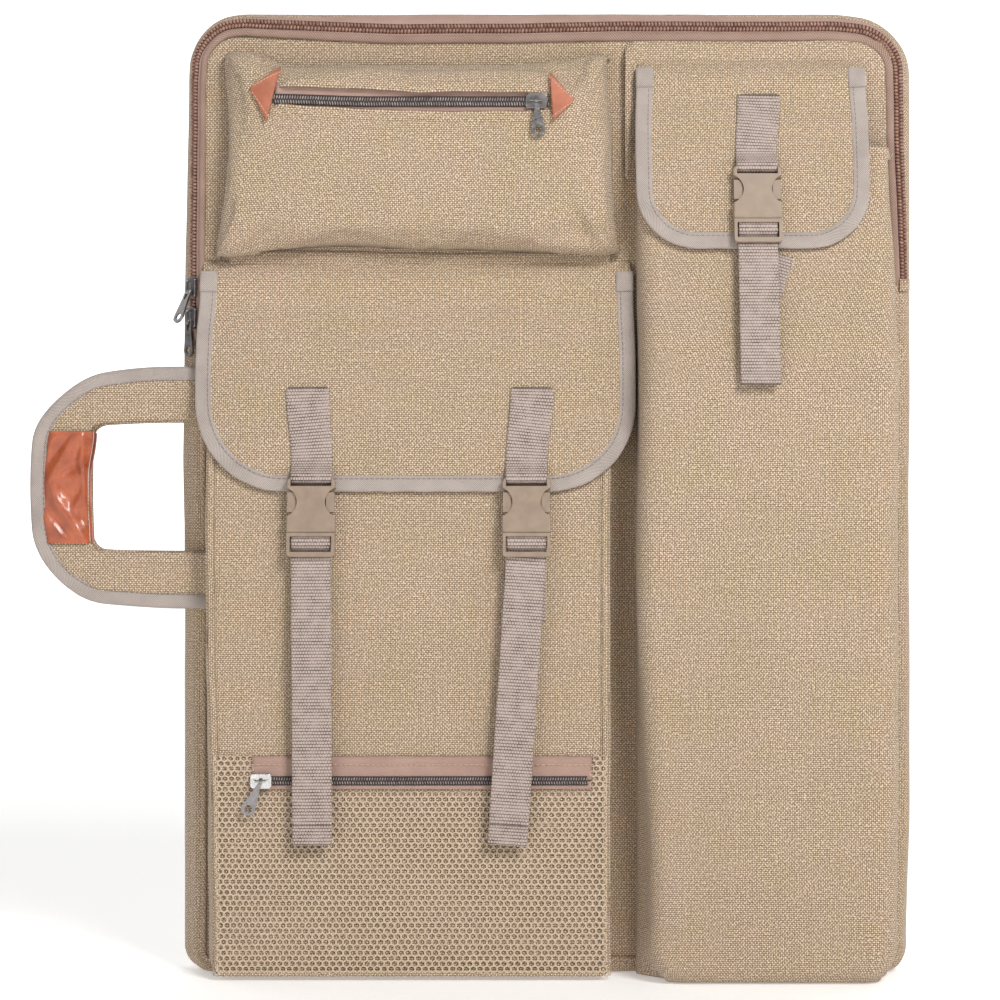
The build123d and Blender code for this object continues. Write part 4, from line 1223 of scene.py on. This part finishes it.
def patches(at):
    for label, (upper, lower, tip) in PATCHES.items():
        upper, lower, tip = (np.array(c) for c in (upper, lower, tip))
        middle = (upper + lower) / 2
        T, C = np.meshgrid(np.linspace(0, 0.97, 14), np.linspace(-1, 1, 21), indexing="ij")
        hollow = 0.02 * (1 - C ** 2) * (1 - T)
        base = middle + (upper - lower) / 2 * C[..., None]
        flat = base * (1 - T[..., None]) + tip * T[..., None] + (tip - middle) * hollow[..., None]
        P, N = at(flat[..., 0], flat[..., 1], 1.2)
        P[..., 1] -= 2.4 * (1 - T)
        case_cloth(f"zip_patch_{label}", P, 1.3, PATCH, offset=0.0, flip=label == "right",
                   replaces=("zip_end_patches",) if label == "left" else ())
        for name, row in (("up", 18), ("down", 2)):
            path = P[:-2, row] - [0, 0.75, 0]
            stitches = stitch_line(f"zip_patch_stitches_{label}_{name}", path, N[:-2, row], *SHORT_STITCH)
            piece(stitches, PALE_THREAD)


# ---- Flaps ----


# The flaps' cloth goes on this far above the hinge line, into the seam
SEAM_TURN = 8.0
# What the rounded corners and drawn-in sides take off a flap's area, as a share of its corner radius squared
CORNERS_CUT = 0.43 * (2 - math.pi / 2)


class Flap:
    """A flap's own frame: x across, t down from its hinge line, and how far it stands off. bows is how far
    its left and right sides bow out."""

    def __init__(self, name, width, root_z, lean, length, corner, puff, seed, bows):
        self.name, self.body, self.bows = name, name, bows
        self.root = np.array([0.0, -25.0, root_z])
        a = math.radians(lean)
        self.down = np.array([0.0, -math.sin(a), -math.cos(a)])
        self.out = np.array([0.0, -math.cos(a), math.sin(a)])
        self.x0, self.x1 = width
        self.length, self.corner, self.puff, self.seed = length, corner, puff, seed

    def at(self, x, t, lift=0.0):
        x, t = np.broadcast_arrays(np.asarray(x, float), np.asarray(t, float))
        P = np.stack([x, 0 * x, t], -1)
        span = np.clip(t / self.length, -0.1, 1)
        edge = np.minimum(x - self.x0, self.x1 - x)
        crown = self.puff * np.sin(math.pi * np.clip(span, 0, 1)) ** 0.7 * ease(edge, -2, 45)
        wave = 0.9 * rumple(P, (90.0, 1.0, 70.0), self.seed) + 0.4 * rumple(P, 32.0, self.seed + 3)
        crown = crown + wave * ease(span, 0.05, 0.3) * (1 - 0.6 * ease(span, 0.8, 1.0))
        fold = 1.8 * bell(t, 8.0, 6.0) - 1.4 * bell(t, 26.0, 9.0)
        fold = fold * (1 + 0.7 * rumple(P, (60.0, 1.0, 400.0), self.seed + 5))
        off = 1.2 + crown + lift + fold * ease(t, 0, 6)
        # above the hinge line the cloth turns in to its seam on the front panel
        turn = np.clip(-t / 7.0, 0, 1)
        off = off * (1 - turn) + (-3.2 + lift) * turn
        bow = np.sin(math.pi * np.clip(span, 0, 1)) ** 2
        kink = 0.8 * rumple(P, (400.0, 1.0, 28.0), self.seed + 7) * np.clip(span * 4, 0, 1)
        x = x - (self.bows[0] * bow + kink) * (1 - ease(x, self.x0, self.x0 + 60))
        x = x + (self.bows[1] * bow + kink) * ease(x, self.x1 - 60, self.x1)
        return (self.root + self.down * t[..., None] + self.out * off[..., None]
                + np.stack([x, 0 * x, 0 * x], -1))

    def outline(self, inset=0.0, step=3.0):
        """The free edge, from the left end of the hinge line round to the right."""
        x0, x1 = self.x0 + inset, self.x1 - inset
        L, r = self.length - inset, self.corner - inset
        left = arc((x0 + r, r - L), r, 180, 13)[0] * (1, -1)
        right = arc((x1 - r, r - L), r, 270, 13)[0] * (1, -1)
        return np.concatenate([pairs(x0, np.arange(0, L - r, step)), left,
                               pairs(np.arange(x0 + r + step, x1 - r, step), L), right,
                               pairs(x1, np.arange(L - r - step, -0.1, -step))])

    def cloth(self, nodes):
        x0, x1, r = self.x0, self.x1, self.corner
        turn = r * (1 - np.cos(np.linspace(0, math.pi / 2, 16)[1:]))
        xs = np.concatenate([x0 + turn, np.arange(x0 + r + 3, x1 - r - 1, 3.5), (x1 - turn)[::-1]])
        xs = np.concatenate([[x0 + 0.4], xs[xs > x0 + 0.6], [x1 - 0.4]])
        xs = np.unique(np.clip(xs, x0 + 0.4, x1 - 0.4))
        inside = np.clip(r - np.minimum(xs - x0, x1 - xs), 0, r)
        end = self.length - r + np.sqrt(np.maximum(r ** 2 - inside ** 2, 0)) - 0.6
        above = np.broadcast_to(np.linspace(-SEAM_TURN, 0, 7)[:-1], (len(xs), 6))
        T = np.concatenate([above, np.linspace(0, 1, 44) * end[:, None]], 1)
        X = np.broadcast_to(xs[:, None], T.shape)
        obj = grid(f"{self.name}_cloth", self.at(X, T), pad_uv(np.stack([X, -T], -1)), flip=True)
        thicken(obj, 1.6, 0.0)
        self.hang(obj, CANVAS, nodes)
        width, length = (x1 - x0) * MM, (self.length + SEAM_TURN) * MM
        width * length - CORNERS_CUT * (r * MM) ** 2

    def hang(self, obj, material, nodes=()):
        """Paints a piece of the flap, bakes its placing into its mesh, and hides the parts it replaces."""
        paint(obj, material)
        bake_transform(obj)
        if nodes:
            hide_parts(*nodes)

    def binding(self, nodes):
        line = self.outline(4.6)
        path = resample(self.at(line[:, 0], line[:, 1]), 3.0)
        path[:, 2] += 0.2 * np.sin(np.arange(len(path)) * 0.9)
        tape = sweep(f"{self.name}_edge_tape", path, self.out, oval(11.2, 3.3, 18, 3.6))
        self.hang(tape, BINDING, nodes)
        line = self.outline(7.4)
        path = self.at(line[:, 0], line[:, 1], 1.62)[1:]
        stitches = stitch_line(f"{self.name}_edge_stitches", path, self.out, *EDGE_STITCH)
        piece(stitches, TAUPE_THREAD, self.body)
        # the tape's two ends, turned under in a square
        for label, x in (("left", self.x0 + 4.6), ("right", self.x1 - 4.6)):
            path = self.at(np.full(6, x), np.linspace(0.5, 13.5, 6))
            fold = sweep(f"{self.name}_tape_end_{label}", path, self.out, oval(11.8, 4.6, 18, 4.5))
            self.hang(fold, BINDING)

    def off(self, x, t, off):
        """Places straight off the flap's flat frame, t down it and off from it: a number or one per place."""
        t, off = np.broadcast_arrays(np.asarray(t, float), off)
        return self.root + [x, 0, 0] + self.down * t[..., None] + self.out * off[..., None]


def width_of(node):
    low, high = box_mm(node)
    return low[0], high[0]


BIG_FLAP = Flap("big_flap", width_of("big_flap_binding"), root_z=467.0, lean=BIG_LEAN, length=147.0,
                corner=55.0, puff=3.2, seed=2.0, bows=(3.0, 1.5))
TUBE_FLAP = Flap("tube_flap", width_of("tube_flap_binding"), root_z=602.0, lean=TUBE_LEAN, length=124.0,
                 corner=38.0, puff=1.8, seed=6.0, bows=(1.0, 1.6))


def flap_seam():
    """The folded strip that each flap hangs from."""
    for flap in (BIG_FLAP, TUBE_FLAP):
        xs = np.linspace(flap.x0 + 3, flap.x1 - 3, 60)
        path = np.stack([xs, np.full(60, -22.6), np.full(60, flap.root[2] - 1.5)], -1)
        path[:, 2] += 0.5 * np.sin(xs / 40.0)
        name = "flap_seam_cloth" if flap is BIG_FLAP else "tube_flap_seam_cloth"
        obj = sweep(name, path, (0, -1, 0), oval(7.0, 3.6, 12, 3.0))
        piece(obj, CANVAS, replaces=("flap_seams",) if flap is BIG_FLAP else ())


# ---- Webbing ----

WEB_HALF, WEB_THICK = 13.0, 1.5


def ribbon(name, lines, normals, width=2 * WEB_HALF, thick=WEB_THICK, body="case", nodes=()):
    """A flat strap along a line of points, rounded at its edges."""
    widths = np.broadcast_to(width, len(lines))[:, None]
    path, extra = resample(lines, 2.5, np.concatenate([normals, widths], 1))
    normal, half = unit(extra[:, :3]), extra[:, 3:, None] / 2
    tangent = unit(np.gradient(path, axis=0))
    across = unit(np.cross(tangent, normal))
    normal = np.cross(across, tangent)
    a = np.array([-1.0, -0.985, -0.93, -0.6, -0.2, 0.2, 0.6, 0.93, 0.985, 1.0])
    h = np.array([0.0, 0.62, 0.95, 1.0, 1.0, 1.0, 1.0, 0.95, 0.62, 0.0])
    top = np.stack([a, h * thick / 2], -1)
    bottom = np.stack([a[::-1][1:-1], -h[1:-1] * thick / 2], -1)
    profile = np.concatenate([top, bottom])
    P = path[:, None] + across[:, None] * profile[None, :, :1] * half + normal[:, None] * profile[None, :, 1:]
    profile[:, 0] *= half.mean()
    s = arc_lengths(path)
    count = len(profile)
    uv = np.zeros((len(path), count + 1, 2))
    uv[:, :count, 0] = profile[None, :, 0]
    uv[:, count, 0] = profile[0, 0]
    uv[..., 1] = s[:, None]
    uv = np.pad(uv, ((0, 1), (0, 0), (0, 0)), mode="edge")
    obj = grid(name, P, uv, close_v=True, caps=True)
    return piece(obj, WEBBING, body, nodes)


# How far each strap's upper end stands to one side of its buckle
STRAP_LEANS = {"left": -3.0, "right": 4.0, "tube": 2.6}


# The strap's height on the flap, how far above the buckle's mouth it leaves the flap, how long it takes to
# rise, the height of the buckle's bars, and the loop's radius round them
STRAP_LIFT, STRAP_LEAVES, STRAP_RISE, BAR, BAR_R = 1.9, 47.0, 10.5, 7.0, 2.9

# The strap's path through the buckle's lower half: how far out from the bars, and how far down
LADDER = np.array(((-2.6, 12.5), (-1.6, 11.2), (0.6, 10.2), (2.2, 8.6), (2.6, 6.5), (2.3, 3.6), (1.2, 2.2),
                   (-0.9, 2.0), (-2.2, 3.5), (-2.6, 7.0), (-2.8, 11.0)))


def line_normal(line):
    """Which way a strap faces that runs along a line without twisting."""
    return unit(np.cross((1.0, 0, 0), unit(np.gradient(line, axis=0))))


def flap_strap(flap, label, x, top, mouth, nodes=()):
    """Sewn to the flap, then round the buckle's upper bar and back to the flap."""
    leaves, lean = mouth - STRAP_LEAVES, STRAP_LEANS[label]
    t = np.linspace(top, leaves, 14)
    on_flap = flap.at(x + lean * (1 - ease(t, top, leaves)), t, STRAP_LIFT)
    t = leaves + STRAP_RISE * np.linspace(0, 1, 8)[1:]
    w = ease(t, leaves, leaves + STRAP_RISE)[:, None]
    rise = flap.at(np.full(7, x), t, STRAP_LIFT) * (1 - w) + flap.off(x, t, BAR + BAR_R) * w
    a = np.radians(np.linspace(90, -90, 13))
    loop = flap.off(x, mouth - 35.0 + 1.9 * np.cos(a), BAR + BAR_R * np.sin(a))
    back = flap.off(x, mouth - np.array((37.0, 39.0, 41.0)), BAR - BAR_R)
    line = np.concatenate([on_flap, rise, loop, back])
    widths = 27.0 + 1.5 * (1 - ease(np.arange(len(line)), 0, 12))
    ribbon(f"{label}_flap_webbing", line, line_normal(line), widths, body=flap.body, nodes=nodes)
    # its folded and box-stitched upper end
    x = x + lean
    end = flap.at(np.full(6, x), np.linspace(top - 1, top + 11, 6), 1.0)
    ribbon(f"{label}_flap_webbing_fold", end, np.broadcast_to(flap.out, end.shape), 25.0, 1.6, body=flap.body)
    path = flap.at(np.linspace(x - 11, x + 11, 10), np.full(10, top + 2.2), STRAP_LIFT + 0.8)
    stitches = stitch_line(f"{label}_strap_stitches", path, flap.out, *SHORT_STITCH)
    piece(stitches, TAUPE_THREAD, flap.body)


def male_webbing(flap, label, x, mouth, body):
    """The strap between the two bars of the buckle's lower half."""
    line = flap.off(x, mouth + LADDER[:, 1], BAR + LADDER[:, 0])
    ribbon(f"{label}_ladder_webbing", line, line_normal(line), 25.4, 1.4, body=body)


def node_points(node):
    return np.array([v.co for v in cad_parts[node].data.vertices]) * 1000


def facing(along):
    """The front of a strap that runs this way."""
    out = unit(np.cross(along, (1.0, 0, 0)))
    return out if out[1] < 0 else -out


def tail_strap(label, node, seed):
    points = node_points(node)
    z = points[:, 2]
    upper = points[z > z.max() - 1.0].mean(0)
    lower = points[z < z.min() + 1.0].mean(0)
    out = facing(unit(lower - upper))
    t = np.linspace(0, 1, 30)
    bow = 0.9 * np.sin(math.pi * t) + 0.5 * np.sin(2.3 * math.pi * t + seed)
    line = upper + (lower - upper) * t[:, None] + out * (bow * ease(t, 0.05, 0.3))[:, None]
    normal = np.broadcast_to(out, line.shape)
    ribbon(f"{label}_tail_webbing", line, normal, body=node, nodes=(node,))
    ribbon(f"{label}_tail_tip", line[-3:] + out * 0.5, normal[-3:], 2 * WEB_HALF - 0.4, body=node)


def anchor_webbing():
    points = node_points("anchor_straps")
    for label, x0, x1 in (("left", -400, -90), ("right", -90, 60), ("tube", 60, 400)):
        near = points[(points[:, 0] > x0) & (points[:, 0] < x1)]
        z = near[:, 2]
        upper, lower = near[z > z.max() - 9].mean(0), near[z < z.min() + 9].mean(0)
        along = unit(lower - upper)
        upper, lower = upper - along * 2, lower + along * 2
        line = upper + (lower - upper) * np.linspace(0, 1, 12)[:, None]
        ribbon(f"{label}_anchor_webbing", line, np.broadcast_to(facing(along), line.shape),
               nodes=("anchor_straps",) if label == "left" else ())


# ---- Handles ----


HANDLE_AXIS, HANDLE_R = -230.0, 50.0


def pulled_in(points):
    """The handle's outer corners sag inwards, and its upper edge falls away from the case."""
    low, high = box_mm("front_handle_binding")
    x, z = points[:, 0], points[:, 1]
    for corner_z, pull in ((high[2], (5.6, -5.6)), (low[2], (5.6, 4.4))):
        near = np.exp(-((x - low[0]) ** 2 + (z - corner_z) ** 2) / (2 * 31.0 ** 2))
        points = points + near[:, None] * pull
    drop = 3.4 * (1 - ease(x, -325, -255)) * ease(z, 350, 395)
    lower = 1.8 * ease(x, -300, -245) * (1 - ease(z, 250, 290))
    return points - np.stack([0 * drop, drop + lower], -1)


def handle_loop(x0, z0, z1, r, count):
    """From the handle's upper end round to its lower end: x0 is its far side, z0 and z1 its heights."""
    low, high = box_mm("front_handle_binding")
    x1, turn_x = high[0], low[0] + HANDLE_R
    upper, lower = (arc((x0 + r, z), r, start, count, False)[0] for z, start in ((z1 - r, 90), (z0 + r, 180)))
    return pulled_in(np.concatenate([pairs(np.linspace(x1, turn_x, 12, endpoint=False), z1), upper,
                                     pairs(x0, np.linspace(z1 - r, z0 + r, 12, endpoint=False)), lower,
                                     pairs(np.linspace(turn_x, x1, 12), z0)]))


def handle_line(inset, count=16):
    """Along the handle at an inset from its outer edge."""
    low, high = box_mm("front_handle_binding")
    return handle_loop(low[0] + inset, low[2] + inset, high[2] - inset, HANDLE_R - inset, count)


def handle_inner(count=16):
    """The handle's inner edge, point for point with handle_line."""
    low, high = box_mm("front_handle_binding")
    return handle_loop(low[0] + 39.0, low[2] + 36.0, high[2] - 36.0, 9.0, count)


def smooth_rows(points, rounds=2):
    for _ in range(rounds):
        points[1:-1] = (points[:-2] + 2 * points[1:-1] + points[2:]) / 4
    return points


def longer(x, side):
    """The rear handle stands a little further out than the front one."""
    return x if side == "front" else HANDLE_AXIS + (x - HANDLE_AXIS) * 1.055


def handle(side):
    """side is front or rear."""
    low, high = box_mm(f"{side}_handle_core")
    middle = (low[1] + high[1]) / 2
    sign = -1.0 if side == "front" else 1.0
    body = f"{side}_handle"
    outer, inner = handle_line(6.5), smooth_rows(handle_inner())
    rows = np.linspace(0, 1, 15)
    flat = outer[:, None] * (1 - rows[None, :, None]) + inner[:, None] * rows[None, :, None]
    flat[..., 0] = longer(flat[..., 0], side)
    flat[0, :, 0] = flat[-1, :, 0] = high[0] + 4.0
    half = 3.0 * (0.45 + 0.75 * np.sin(math.pi * rows * 0.93) ** 0.45)
    P = np.stack([flat[..., 0], 0 * flat[..., 0], flat[..., 1]], -1)
    bend = 0.9 * rumple(P, (26.0, 1.0, 26.0), 1.5 if sign < 0 else 4.5)
    corner = bell(P[..., 2], low[2] + 18, 22) * bell(P[..., 0], low[0] + 26, 22)
    bend = bend + corner * 0.8 * np.sin((P[..., 0] - P[..., 2]) / 5.0)
    # a crease down from the inner corner to the grip
    crease = bell(P[..., 0] + 0.12 * (P[..., 2] - 372.0), -310.6, 3.2) * bell(P[..., 2], 372.0, 13.0)
    bend = bend - 2.0 * crease
    held = ease(P[..., 2], 278, 284) * (1 - ease(P[..., 2], 364, 370)) * (1 - ease(P[..., 0], -305, -298))
    bend = bend * (1 - held)
    half = half - 0.9 * held
    front = P.copy()
    back = P.copy()
    front[..., 1] = middle + sign * (half + bend)
    back[..., 1] = middle - sign * (half - 0.4)
    loop = np.concatenate([front, back[:, ::-1][:, 1:-1]], 1)
    uv = np.concatenate([loop[..., [0, 2]], loop[:, :1, [0, 2]]], 1)
    uv = np.pad(uv, ((0, 1), (0, 0), (0, 0)), mode="edge")
    obj = grid(f"{side}_handle_cloth", loop, uv, close_v=True, flip=sign < 0, caps=True)
    piece(obj, CANVAS, body, replaces=(f"{side}_handle_cover", f"{side}_handle_core"))

    def on_handle(inset, y):
        line = handle_line(inset, 24)
        return np.stack([longer(line[:, 0], side), np.full(len(line), y), line[:, 1]], -1)

    path = on_handle(5.2, middle)
    path[0, 0] = path[-1, 0] = high[0] + 4.0
    path = resample(path, 3.0)
    tape = sweep(f"{side}_handle_edge_tape", path, (0, sign, 0), oval(10.6, 6.8, 18, 3.0))
    piece(tape, BINDING, body, (f"{side}_handle_binding",))
    path = on_handle(9.3, middle + sign * 3.4)
    stitches = stitch_line(f"{side}_handle_stitches", path, (0, sign, 0), *EDGE_STITCH)
    piece(stitches, TAUPE_THREAD, body)
    grip(side, body, middle)


# Folds of the leather, each a line of (across, down) places on the grip and its height, width and side
FOLDS = (
    (((0.29, 0.0), (-0.18, 0.23), (-0.62, 0.44), (-0.34, 0.63), (0.29, 0.81), (0.72, 1.0)), 1.5, 0.20),
    (((0.56, 0.0), (0.60, 0.23), (0.88, 0.41), (0.84, 0.58), (0.5, 0.68)), 1.2, 0.15),
    (((-0.95, 0.78), (-0.3, 0.92), (0.2, 1.02)), 1.1, 0.16),
    (((-0.3, 0.42), (0.2, 0.43), (0.75, 0.40)), 0.7, 0.12),
    (((-0.9, 0.1), (-0.4, 0.02)), 0.9, 0.16),
)


def leather_folds(U, W, aspect):
    """Height of the folds at places across (-1 to 1) and down (0 to 1) the grip."""
    height = 0 * U
    at = np.stack([U, W * aspect], -1)
    for line, tall, wide in FOLDS:
        points = np.array(line) * (1, aspect)
        near = np.full(U.shape, 9.0)
        for a, b in zip(points[:-1], points[1:]):
            t = np.clip(((at - a) @ (b - a)) / ((b - a) @ (b - a)), 0, 1)
            near = np.minimum(near, np.linalg.norm(at - a - t[..., None] * (b - a), axis=-1))
        height += tall * bell(near, 0, wide) - 0.45 * tall * bell(near, 2.1 * wide, wide)
    return height


# The middle line of the grip, and half its width and thickness
GRIP_X, GRIP_HALF, GRIP_THICK = -322.0, 15.0, 4.9


def grip(side, body, middle):
    """Leather wrapped round the handle and creased by the hand."""
    low, high = box_mm(f"{side}_handle_grip")
    z = np.linspace(low[2] - 2.5, high[2] + 1.0, 90)
    t = np.linspace(0, 2 * math.pi, 72, endpoint=False)
    c, s = np.cos(t), np.sin(t)
    px = np.sign(c) * np.abs(c) ** 0.7
    py = np.sign(s) * np.abs(s) ** 0.55
    W, U = np.meshgrid(1 - (z - z[0]) / (z[-1] - z[0]), px, indexing="ij")
    Z = z[0] + (z[-1] - z[0]) * (1 - W)
    # its middle line bows outwards, most at mid height
    centre = GRIP_X + 3.8 * (1 - ease(W, 0.0, 0.45)) + 1.4 * ease(W, 0.6, 1.0)
    V = np.broadcast_to(py[None], Z.shape)
    push = leather_folds(U, W, (z[-1] - z[0]) / 2 / GRIP_HALF) * 1.5
    hold = ease(W, 0, 0.06) * (1 - ease(W, 0.95, 1.0))
    P = np.stack([longer(centre, side) + U * GRIP_HALF, 0 * Z, Z], -1)
    push = push * (0.25 + 0.75 * hold) + 0.2 * rumple(P, 5.0, 7.0)
    P[..., 0] += np.sign(U) * 0.25 * push * np.abs(U) ** 4
    P[..., 1] = middle + V * (GRIP_THICK + push)
    obj = grid(f"{side}_grip_leather", P, close_v=True, caps=True)
    rounder = obj.modifiers.new("smooth", "SUBSURF")
    rounder.levels = rounder.render_levels = 1
    piece(obj, LEATHER, body, (f"{side}_handle_grip",))


# ---- Build ----

case_gusset()
case_zip_tape()
case_piping()
case_panels()
main_coil()
big_pocket()
mesh_pocket()
tube_pocket()
top_zip(top_pocket())
flap_seam()
BIG_FLAP.cloth(("big_flap",))
BIG_FLAP.binding(("big_flap_binding",))
TUBE_FLAP.cloth(("tube_flap",))
TUBE_FLAP.binding(("tube_flap_binding",))
# Each buckle's flap and x, and how far down the flap its strap starts and its mouth is
BUCKLES = (("left", BIG_FLAP, -157.0, 80.0, 176.0), ("right", BIG_FLAP, -16.0, 80.0, 176.0),
           ("tube", TUBE_FLAP, 135.5, 20.0, 107.0))
for number, (label, flap, x, top, mouth) in enumerate(BUCKLES):
    nodes = {"left": ("big_flap_straps",), "tube": ("tube_flap_strap",)}.get(label, ())
    flap_strap(flap, label, x, top, mouth, nodes)
    male_webbing(flap, label, x, mouth, f"{label}_buckle_male")
    tail_strap(label, f"{label}_strap_tail", number * 1.7)
anchor_webbing()
handle("front")
handle("rear")

for name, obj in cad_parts.items():
    if "slider" in name or "pull" in name:
        paint(obj, NICKEL if name == "mesh_slider" else GUNMETAL)
    elif "buckle" in name:
        paint(obj, BUCKLE)
    elif not obj.hide_render:
        paint(obj, CANVAS)
    for polygon in obj.data.polygons:
        polygon.use_smooth = True

# ---- Floor, light and camera ----


def white(name, colour, rough, glow):
    n = Nodes(name)
    n.set(n.shader.inputs["Emission Color"], (1.0, 1.0, 1.0, 1.0))
    n.set(n.shader.inputs["Emission Strength"], glow)
    return n.finish(colour, rough, specular=0.2)


# Lights: place in metres, size, watts and colour
LIGHTS = {"key": ((1.15, -2.2, 1.95), 0.9, 64.0, (1.0, 0.995, 0.98)),
          "fill": ((-1.5, -2.4, 0.9), 1.8, 13.0, (0.97, 0.99, 1.0))}
LIGHTS_AIM = (0, 0, 0.3)
WORLD_STRENGTH = 0.17
# The camera's place in metres, and its lens and sensor in millimetres
CAMERA_AT, LENS, SENSOR = (-0.0333, -1.92, 0.3153), 102.6, 36.0


def stage_sheet(name, corners, material):
    obj = new_object(name, corners, [[0, 1, 2, 3]], np.zeros((4, 2)))
    paint(obj, material)


def studio():
    far = 9000
    stage_sheet("floor", [(-far, -far, -0.6), (far, -far, -0.6), (far, far, -0.6), (-far, far, -0.6)],
                white("floor_white", (0.93, 0.925, 0.92, 1), 0.6, 0.30))
    # far enough behind that a camera looking from the back stays in front of it
    wide, deep = 27000, 7800
    stage_sheet("backdrop", [(-wide, deep, -10), (wide, deep, -10), (wide, deep, wide), (-wide, deep, wide)],
                white("backdrop_white", (0.9, 0.9, 0.9, 1), 0.8, 1.0))
    world = bpy.data.worlds.new("studio")
    world.use_nodes = True
    world.node_tree.nodes["Background"].inputs["Color"].default_value = (1.0, 1.0, 1.0, 1)
    world.node_tree.nodes["Background"].inputs["Strength"].default_value = WORLD_STRENGTH
    bpy.context.scene.world = world
    for name, (place, size, power, colour) in LIGHTS.items():
        light = bpy.data.lights.new(name, "AREA")
        light.size = size
        light.energy = power
        light.color = colour
        obj = bpy.data.objects.new(name, light)
        obj.location = place
        direction = Vector(LIGHTS_AIM) - Vector(place)
        obj.rotation_euler = direction.to_track_quat("-Z", "Y").to_euler()
        bpy.context.scene.collection.objects.link(obj)
    camera = bpy.data.cameras.new("camera")
    camera.sensor_width = SENSOR
    camera.lens = LENS
    camera.clip_end = 100.0
    obj = bpy.data.objects.new("camera", camera)
    obj.location = CAMERA_AT
    obj.rotation_euler = (math.radians(90), 0, 0)
    bpy.context.scene.collection.objects.link(obj)
    bpy.context.scene.camera = obj
    bpy.context.scene.view_settings.view_transform = "Standard"


studio()
